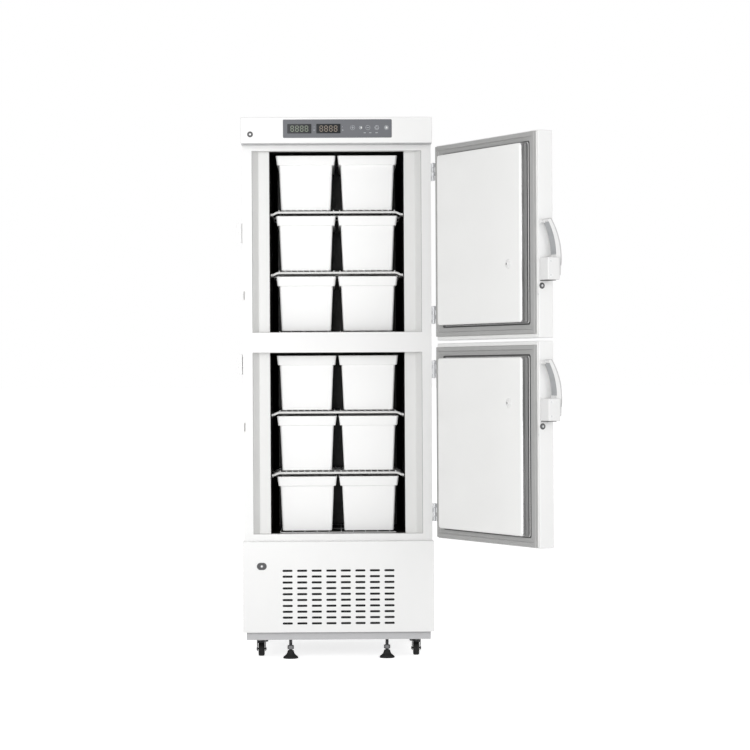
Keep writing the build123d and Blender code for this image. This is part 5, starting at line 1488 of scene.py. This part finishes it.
# %% Key lamps
KEY_LAMP_XS, KEY_LAMP_R = (87 * MM, 175.5 * MM), 3.4 * MM

dots = bmesh.new()
for x in KEY_LAMP_XS:
    mark_ring(dots, x, KEY_Z, KEY_LAMP_R, KEY_LAMP_R - 0.1 * MM, 16)
add_piece("key lamps", dots, lamp_white, "cabinet")
print("key lamps ready")

# %% [markdown]
# A key switch sits at the left end of the fascia, and a lock holds the grille panel. They have
# the doors' barrel in a smaller size. The switch has a round ring and the panel lock an oval
# plate. Both are in one CAD node, so they are joined into one piece here.

# %% Key switch and panel lock
SMALL_BARREL_R, SMALL_BARREL_PROUD = 6 * MM, 2.2 * MM
KEY_SWITCH_X, KEY_SWITCH_Z = -299 * MM, 1823 * MM
PANEL_LOCK_X, PANEL_LOCK_Z = -266 * MM, 324 * MM
OVAL_HALF_W, OVAL_HALF_H, OVAL_R = 17 * MM, 12.5 * MM, 12.4 * MM
OVAL_BORE_R, OVAL_SHEET = 6.1 * MM, 2.4 * MM

switch_place = at(KEY_SWITCH_X, FACE_Y, KEY_SWITCH_Z, TOWARDS_FRONT)
panel_place = at(PANEL_LOCK_X, FACE_Y, PANEL_LOCK_Z, TOWARDS_FRONT)
bezels = bmesh.new()
add_turned(bezels, sleeve_profile(SMALL_BARREL_R + BORE_CLEAR), switch_place, 40)
bore = [
    (OVAL_BORE_R * math.cos(n / 20 * math.pi), OVAL_BORE_R * math.sin(n / 20 * math.pi)) for n in range(40)
]
join_mesh(bezels, pierced_plate(
    "oval", rounded_outline(OVAL_HALF_W, OVAL_HALF_H, OVAL_R, 10), [bore], OVAL_SHEET, 0.7 * MM,
    panel_place @ at(0, 0, 0.8 * MM),
))
for label, place in (("key switch", switch_place), ("panel lock", panel_place)):
    body = label.replace(" ", "_")
    lock_barrel(f"{label} barrel", body, f"{body}_barrel", place, SMALL_BARREL_R, SMALL_BARREL_PROUD)
add_piece("lock bezels", bezels, bezel_metal, "cabinet", ["lock_bezels"])
print("key switch and panel lock ready")

# %% [markdown]
# ## Grille panel
# The base is closed by a folded sheet with eight columns of ten punched slots. The sheet's
# face is a pierced plate with rounded slot edges, and its folded sides and top are joined
# behind it, so light passes through the slots into the machine bay.

# %% Grille panel
GRILLE_SHEET, GRILLE_EDGE, GRILLE_CORNER_R = 1.2 * MM, 0.5 * MM, 1.2 * MM
FOLD_Y = FACE_Y + 0.9 * MM
SLOT_COLUMNS, SLOT_ROWS = 8, 10
SLOT_PITCH_X, SLOT_PITCH_Z, TOP_SLOT_Z = 50.5 * MM, 20.3 * MM, 308 * MM
SLOT_HALF_W, SLOT_HALF_H, SLOT_R = 17.5 * MM, 3.7 * MM, 3.6 * MM
SLOT_XS = [(n - (SLOT_COLUMNS - 1) / 2) * SLOT_PITCH_X for n in range(SLOT_COLUMNS)]
SLOT_ZS = [TOP_SLOT_Z - SLOT_PITCH_Z * n for n in range(SLOT_ROWS)]


def grille_panel():
    """Makes the panel and counts its slots."""
    middle = (GRILLE_LOW + GRILLE_TOP) / 2
    slot = rounded_outline(SLOT_HALF_W, SLOT_HALF_H, SLOT_R, 6)
    slots = [[(x + u, z - middle + v) for u, v in slot] for x in SLOT_XS for z in SLOT_ZS]
    outline = rounded_outline(PANEL_HALF, (GRILLE_TOP - GRILLE_LOW) / 2, GRILLE_CORNER_R, 3)
    place = at(0, FACE_Y + GRILLE_SHEET / 2, middle, TOWARDS_FRONT)
    bm = bmesh.new()
    join_mesh(bm, pierced_plate("face", outline, slots, GRILLE_SHEET, GRILLE_EDGE, place))
    back = FRONT_Y - PANEL_GAP
    for side in (-1, 1):
        x0, x1 = sorted((side * PANEL_HALF, side * (PANEL_HALF - GRILLE_SHEET)))
        add_box(bm, (x0, FOLD_Y, GRILLE_LOW), (x1, back, GRILLE_TOP - 0.3 * MM))
    add_box(bm, (-PANEL_HALF, FOLD_Y, GRILLE_TOP - GRILLE_SHEET), (PANEL_HALF, back, GRILLE_TOP))
    add_piece("grille panel", bm, enamel, "cabinet", ["grille_panel"])
    return len(slots)


print("grille slots", grille_panel())

# %% [markdown]
# Behind the slots hangs a dark sheet of painted shade, which makes every slot equally dark, as
# the machine bay behind them lies in shade. One thin box with a matt black finish is enough at
# this depth.

# %% Slot shade sheet
SLOT_SHADE_HALF, SLOT_SHADE_MARGIN = 212 * MM, 14 * MM
SLOT_SHADE_Y, SLOT_SHADE_SHEET = FACE_Y + 14 * MM, 2 * MM

bm = bmesh.new()
add_box(
    bm, (-SLOT_SHADE_HALF, SLOT_SHADE_Y, SLOT_ZS[-1] - SLOT_SHADE_MARGIN),
    (SLOT_SHADE_HALF, SLOT_SHADE_Y + SLOT_SHADE_SHEET, SLOT_ZS[0] + SLOT_SHADE_MARGIN),
)
add_piece("slot shade sheet", bm, black_plastic_and_shade, "cabinet")
print("slot shade sheet ready")

# %% [markdown]
# ## Castors and levelling feet
# Each castor has a solid rubber wheel, whose rim is thicker than its web. The section is turned
# into a closed ring round the axle, so the bore is open as in the real wheel.

# %% Castor wheels
WHEEL_R, TRAIL = 25 * MM, 20 * MM
# The swivel axis of each castor, and the way in which its wheel trails
CASTORS = {
    "front_left": (-272 * MM, -262 * MM, 1), "front_right": (272 * MM, -262 * MM, 1),
    "rear_left": (-272 * MM, 240 * MM, -1), "rear_right": (272 * MM, 240 * MM, -1),
}
# Half of the wheel's section, from the bore along the face to the tread
WHEEL_HALF_SECTION = [
    (3.2, 11), (9.5, 11), (10.5, 9.4), (16.5, 8.4), (18.0, 9.6), (20.5, 10.6), (23.0, 9.8), (24.6, 7.6),
    (25.0, 5.0),
]
WHEEL_SECTION = [(r, -h) for r, h in WHEEL_HALF_SECTION] + WHEEL_HALF_SECTION[::-1]


def castor_wheel(name):
    """One wheel behind its castor's swivel axis."""
    x, y, trail = CASTORS[name]
    bm = bmesh.new()
    place = at(x, y + trail * TRAIL, WHEEL_R, ALONG_X)
    add_turned(bm, in_mm(WHEEL_SECTION), place, 56, closed=True)
    add_piece(
        f"{name} castor wheel".replace("_", " "), bm, tyre_rubber, f"{name}_wheel",
        [f"{name}_castor_wheel"],
    )


for name in CASTORS:
    castor_wheel(name)
print("castor wheels ready")

# %% [markdown]
# The yoke is pressed from sheet: two cheeks under a domed top plate, with the axle, the swivel
# race and the stem. The cheeks are outlines in the side view with an arc round the axle, and the
# round parts are turned. The front pair also have a brake pedal with five grip ribs. The yokes
# of the rear pair are fixed to the cabinet and are one CAD node, so they are joined.

# %% Castor yokes
CHEEK_IN, CHEEK_SHEET = 12.6 * MM, 2.6 * MM
CHEEK_TOP_Z, CHEEK_NOSE_R = 59 * MM, 8.5 * MM
AXLE_R, AXLE_HALF = 3 * MM, 13 * MM
STEM_R, STEM_LOW, STEM_TOP = 6 * MM, 60 * MM, 72 * MM
NUT_PROFILE = [(5.2, -0.2), (5.2, 1.4), (4.4, 2.4), (1.6, 2.7)]
RACE_PROFILE = [
    (14, 58), (18.5, 58.5), (19.8, 60), (19.8, 62), (18, 63.4), (18, 64.2), (19.6, 65), (19.6, 66.8), (6, 67),
]
# The brake pedal's outline, as distance in front of the stem and height
PEDAL_OUTLINE = [(12, 54), (20, 57), (29, 54), (31, 50.5), (29, 50), (20, 53), (12, 50)]
PEDAL_HALF, PEDAL_RIB_HALF = 12 * MM, 0.8 * MM
PEDAL_RIB_XS = [x * MM for x in (-8, -4, 0, 4, 8)]


def add_cheek(bm, x, y, trail, side):
    """Adds one cheek of a yoke, with the axle's nut on it."""
    wheel_y = y + trail * TRAIL
    inner = x + side * CHEEK_IN
    outline = [
        (y - trail * 13 * MM, CHEEK_TOP_Z), (y + trail * 19 * MM, CHEEK_TOP_Z),
        (y + trail * 27 * MM, 42 * MM),
    ]
    for n in range(9):
        angle = math.radians(20 - 220 * n / 8)
        outline.append((
            wheel_y + trail * CHEEK_NOSE_R * math.cos(angle), WHEEL_R + CHEEK_NOSE_R * math.sin(angle),
        ))
    outline.append((y - trail * 11 * MM, 44 * MM))
    add_side_prism(bm, outline, *sorted((inner, inner + side * CHEEK_SHEET)))
    outwards = ALONG_X if side > 0 else ALONG_X.inverted()
    add_turned(bm, in_mm(NUT_PROFILE), at(inner + side * 2.4 * MM, wheel_y, WHEEL_R, outwards), 6)


def add_pedal(bm, x, y):
    """Adds the brake pedal with its grip ribs."""
    outline = [(y - out * MM, z * MM) for out, z in PEDAL_OUTLINE]
    add_side_prism(bm, outline, x - PEDAL_HALF, x + PEDAL_HALF)
    for dx in PEDAL_RIB_XS:
        add_box(
            bm, (x + dx - PEDAL_RIB_HALF, y - 30 * MM, 53 * MM),
            (x + dx + PEDAL_RIB_HALF, y - 21 * MM, 57.4 * MM),
        )


def castor_yoke(name):
    """One yoke with its axle, top plate, race and stem, and with a pedal at the front."""
    x, y, trail = CASTORS[name]
    bm = bmesh.new()
    for side in (-1, 1):
        add_cheek(bm, x, y, trail, side)
    axle = at(x, y + trail * TRAIL, WHEEL_R, ALONG_X)
    add_turned(bm, [(AXLE_R, -AXLE_HALF), (AXLE_R, AXLE_HALF)], axle, 20)
    add_box(bm, (x - 15.2 * MM, y - 14 * MM, 56.5 * MM), (x + 15.2 * MM, y + 18 * MM, 59.5 * MM))
    add_turned(bm, in_mm(RACE_PROFILE), at(x, y, 0), 40)
    add_turned(bm, [(STEM_R, STEM_LOW), (STEM_R, STEM_TOP)], at(x, y, 0), 24)
    if name.startswith("front"):
        add_pedal(bm, x, y)
    return bm


for name in ("front_left", "front_right"):
    add_piece(
        f"{name} castor yoke".replace("_", " "), castor_yoke(name), castor_paint, f"{name}_fork",
        [f"{name}_castor_fork"], round_by=0.5 * MM, steps=2,
    )
rear = bmesh.new()
for name in ("rear_left", "rear_right"):
    join_part(rear, castor_yoke(name))
add_piece(
    "rear castor yokes", rear, castor_paint, "cabinet", ["rear_castor_forks"],
    round_by=0.5 * MM, steps=2,
)
print("castor yokes ready")

# %% [markdown]
# A levelling foot is a bell-shaped pad on a threaded stud with a lock nut. A helix would give a
# true thread, but at this size a zigzag profile that is turned looks the same with far fewer
# faces. The nut is a stack of hexagons, whose first and last are smaller to chamfer it.

# %% Levelling feet
FOOT_X, FOOT_Y = 168 * MM, -325 * MM
PAD_PROFILE = [
    (24, 0), (26, 0.6), (26.5, 2), (26.2, 4.5), (24, 7.5), (19, 11), (15, 15), (12.4, 20), (11, 25),
    (10, 28), (6, 28.4),
]
THREAD_START, THREAD_PITCH, THREAD_TURNS = 29, 1.25, 56
NUT_R = 11.3 * MM
# The nut's outlines, as share of its radius and height
NUT_ROWS = ((0.86, 31.8), (1.0, 33.4), (1.0, 44.2), (0.86, 45.8))


def stud_profile():
    """The threaded stud, as radii and heights in millimetres."""
    thread = [(5.3, 28)]
    for n in range(THREAD_TURNS):
        z = THREAD_START + n * THREAD_PITCH
        thread += [(5.9, z), (5.1, z + 0.62)]
    return thread + [(4.6, 99.6)]


def add_nut(bm, x):
    """Adds the lock nut of the foot at this side."""
    corners = [(NUT_R * math.cos(n * math.pi / 3), NUT_R * math.sin(n * math.pi / 3)) for n in range(6)]
    stack_rings(bm, [
        [(x + share * u, FOOT_Y + share * v, z * MM) for u, v in corners] for share, z in NUT_ROWS
    ])


for side, x in (("left", -FOOT_X), ("right", FOOT_X)):
    spot = at(x, FOOT_Y, 0)
    bm = bmesh.new()
    add_turned(bm, in_mm(PAD_PROFILE), spot, 48)
    add_piece(f"{side} foot pad", bm, tyre_rubber, f"{side}_foot", [f"{side}_levelling_foot"])
    bm = bmesh.new()
    add_turned(bm, in_mm(stud_profile()), spot, 20)
    add_nut(bm, x)
    add_piece(f"{side} foot stud and nut", bm, dark_zinc, f"{side}_foot")
print("levelling feet ready")

# %% [markdown]
# ## Machinery
# The compressor is a welded pot with a domed lid, on a base plate with four rubber mounts, with
# a box for its terminals. It is seen only through the grille and from below, so a smooth turned
# shape with its weld seam and a few plain parts are enough.

# %% Compressor
POT_X, POT_Y = 120 * MM, 120 * MM
POT_PROFILE = [
    (49, 14), (62, 20), (71, 30), (75, 42), (75, 92), (76.5, 94), (76.5, 99), (75, 101), (75, 155),
    (72, 168), (64, 178), (48, 186), (26, 189.6),
]
MOUNT_PROFILE = [(11, 0), (11, 4), (8, 7), (11, 12)]
MOUNT_XS, MOUNT_YS = (-75 * MM, 75 * MM), (-41 * MM, 41 * MM)
PIPE_PROFILE, PIPE_RISE = [(5, 60), (5, 101)], 114 * MM

pot_low, pot_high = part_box("compressor")
foot_z = pot_low[2]
pot = bmesh.new()
add_turned(pot, in_mm(POT_PROFILE), at(POT_X, POT_Y, foot_z), 64)
add_box(
    pot, (POT_X - 87 * MM, POT_Y - 52 * MM, foot_z + 12 * MM),
    (POT_X + 87 * MM, POT_Y + 52 * MM, foot_z + 18 * MM),
)
for u in MOUNT_XS:
    for v in MOUNT_YS:
        add_turned(pot, in_mm(MOUNT_PROFILE), at(POT_X + u, POT_Y + v, foot_z), 24)
add_box(
    pot, (POT_X + 62 * MM, POT_Y - 28 * MM, foot_z + 67 * MM),
    (POT_X + 97 * MM, POT_Y + 28 * MM, foot_z + 129 * MM),
)
add_turned(pot, in_mm(PIPE_PROFILE), at(POT_X, POT_Y, foot_z + PIPE_RISE, TOWARDS_BACK), 20)
add_piece(
    "compressor pot", pot, pot_paint, "cabinet", ["compressor"],
    round_by=0.8 * MM, steps=2,
)
print("compressor height", round(pot_high[2] - pot_low[2], 3), "m")

# %% [markdown]
# ## Back details
# The rear panel is screwed on round its edge, and the supply gland has a round nut. These are
# small, but a cabinet is looked at from behind as well. The gland is a turned section that is
# closed into a ring, because its bore stays open.

# %% Rear screws and gland
REAR_SCREW_R, REAR_SCREW_HEIGHT = 4 * MM, 1.6 * MM
REAR_SCREW_SIDE_X, REAR_SCREW_TOP_Z = 318 * MM, 1870 * MM
REAR_SCREW_ZS = [110 * MM + n * 290 * MM for n in range(7)]
EDGE_SCREW_XS, EDGE_SCREW_ZS = (-200 * MM, 0, 200 * MM), (108 * MM, 1868 * MM)
GLAND_X, GLAND_Z = 250 * MM, 150 * MM
GLAND_SECTION = [
    (4.6, -0.5), (14, -0.5), (14, 3), (13, 4), (9.6, 4.2), (9.4, 11.2), (8.4, 12), (5.4, 12), (4.6, 11),
]

bm = bmesh.new()
for z in REAR_SCREW_ZS:
    for x in (-REAR_SCREW_SIDE_X, REAR_SCREW_SIDE_X):
        spot = at(x, BACK_Y, min(z, REAR_SCREW_TOP_Z), TOWARDS_BACK)
        add_screw(bm, spot, REAR_SCREW_R, REAR_SCREW_HEIGHT)
for x in EDGE_SCREW_XS:
    for z in EDGE_SCREW_ZS:
        add_screw(bm, at(x, BACK_Y, z, TOWARDS_BACK), REAR_SCREW_R, REAR_SCREW_HEIGHT)
add_piece("rear panel screws", bm, zinc, "cabinet")
bm = bmesh.new()
add_turned(bm, in_mm(GLAND_SECTION), at(GLAND_X, BACK_Y, GLAND_Z, TOWARDS_BACK), 32, closed=True)
add_piece("supply gland", bm, black_plastic_and_shade, "cabinet")
print("back details ready")

# %% [markdown]
# ## Floor, light and camera
# The photograph is a catalogue picture on pure white. A pale floor keeps the object's soft
# shadow. What the camera or a reflection sees of it is lifted to white by a glow that lights
# nothing else, since more lamps would wash out the paint.

# %% Floor
FLOOR_GREY, FLOOR_LIFT, FLOOR_HALF = 0.80, 0.75, 180


def seen_directly(nodes, links):
    """One where a camera ray or a glossy ray meets the surface, and zero elsewhere."""
    path = nodes.new("ShaderNodeLightPath")
    seen = nodes.new("ShaderNodeMath")
    seen.operation = "MAXIMUM"
    links.new(path.outputs["Is Camera Ray"], seen.inputs[0])
    links.new(path.outputs["Is Glossy Ray"], seen.inputs[1])
    return seen.outputs[0]


floor_paint = bpy.data.materials.new("studio floor")
floor_paint.use_nodes = True
nodes, links = floor_paint.node_tree.nodes, floor_paint.node_tree.links
nodes.clear()
diffuse = nodes.new("ShaderNodeBsdfDiffuse")
diffuse.inputs["Color"].default_value = (FLOOR_GREY, FLOOR_GREY, FLOOR_GREY, 1)
glow = nodes.new("ShaderNodeEmission")
lift = nodes.new("ShaderNodeMath")
lift.operation = "MULTIPLY"
lift.inputs[1].default_value = FLOOR_LIFT
links.new(seen_directly(nodes, links), lift.inputs[0])
links.new(lift.outputs[0], glow.inputs["Strength"])
both_shaders = nodes.new("ShaderNodeAddShader")
links.new(diffuse.outputs[0], both_shaders.inputs[0])
links.new(glow.outputs[0], both_shaders.inputs[1])
out = nodes.new("ShaderNodeOutputMaterial")
links.new(both_shaders.outputs[0], out.inputs["Surface"])

bm = bmesh.new()
bmesh.ops.create_grid(bm, x_segments=1, y_segments=1, size=FLOOR_HALF)
mesh = bpy.data.meshes.new("studio floor")
bm.to_mesh(mesh)
bm.free()
mesh.materials.append(floor_paint)
floor = bpy.data.objects.new("studio floor", mesh)
bpy.context.scene.collection.objects.link(floor)
floor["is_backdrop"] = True
print("floor ready")

# %% [markdown]
# The world is a plain white that lights the object evenly from all sides. It is dimmer as a
# light than as a background, because a full white would leave the sheet metal without shade.

# %% World
WORLD_LIGHT, WORLD_WHITE = 0.56, 1.0

world = bpy.data.worlds.new("studio")
bpy.context.scene.world = world
world.use_nodes = True
nodes, links = world.node_tree.nodes, world.node_tree.links
background = nodes["Background"]
level = nodes.new("ShaderNodeMix")
level.inputs["A"].default_value = WORLD_LIGHT
level.inputs["B"].default_value = WORLD_WHITE
links.new(seen_directly(nodes, links), level.inputs["Factor"])
links.new(level.outputs["Result"], background.inputs["Strength"])
background.inputs["Color"].default_value = (1, 1, 1, 1)
print("world ready")

# %% [markdown]
# Two large soft boxes in front give the sheet metal its slight shading: a strong one at the left
# and a weak one at the right. Area lamps are used, as their size sets how soft the shade is.

# %% Lamps
def soft_lamp(name, place, target, size, watts):
    """A rectangular area lamp that looks at a point."""
    lamp = bpy.data.lights.new(name, "AREA")
    lamp.shape = "RECTANGLE"
    lamp.size, lamp.size_y = size
    lamp.energy = watts
    holder = bpy.data.objects.new(name, lamp)
    holder.location = place
    holder.rotation_euler = (Vector(target) - Vector(place)).to_track_quat("-Z", "Y").to_euler()
    bpy.context.scene.collection.objects.link(holder)


soft_lamp(
    "front soft box", place=(-1.6, -5.2, 1.5), target=(0, -0.3, 1.0), size=(3.0, 3.0), watts=126,
)
soft_lamp(
    "right soft box", place=(3.6, -3.6, 1.6), target=(0.3, -0.4, 1.0), size=(1.6, 3.0), watts=38,
)
print("lamps ready")

# %% [markdown]
# The camera stands nine metres in front, level and at half height, as the photograph's nearly
# parallel edges show. Its focal length is known in pixels of the photograph, from how large the
# cabinet is in it, so the lens follows from the sensor's width. A small turn and roll line the
# picture up. The plain Standard view leaves the colours as they are written.

# %% Camera
SENSOR, PHOTO_PX, FOCAL_PX = 36.0, 750, 2487
CAMERA_PLACE = (0.0, -9.0, 0.986)
YAW, ROLL = math.radians(-0.864), math.radians(-0.3)

camera_data = bpy.data.cameras.new("camera")
camera_data.sensor_width = SENSOR
camera_data.lens = SENSOR * FOCAL_PX / PHOTO_PX
camera_data.clip_end = 200
camera = bpy.data.objects.new("camera", camera_data)
camera.location = CAMERA_PLACE
camera.rotation_euler = (
    Matrix.Rotation(YAW, 4, "Z") @ Matrix.Rotation(math.pi / 2, 4, "X") @ Matrix.Rotation(ROLL, 4, "Z")
).to_euler()
bpy.context.scene.collection.objects.link(camera)
bpy.context.scene.camera = camera
bpy.context.scene.view_settings.view_transform = "Standard"
print("lens", round(camera_data.lens, 1), "mm")

# %% [markdown]
# ## Sizes at the end
# The dressed model must keep the size of the CAD model. Both boxes are printed, so that a piece
# which has grown past the solids shows at once.

# %% Print both sizes and finish
view_low, view_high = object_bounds()
sizes = {
    "cad": [list(cad_low), list(cad_high)],
    "visual": [list(view_low), list(view_high)],
}
for label, (low, high) in sizes.items():
    print(label, [round(v, 4) for v in low], [round(v, 4) for v in high])
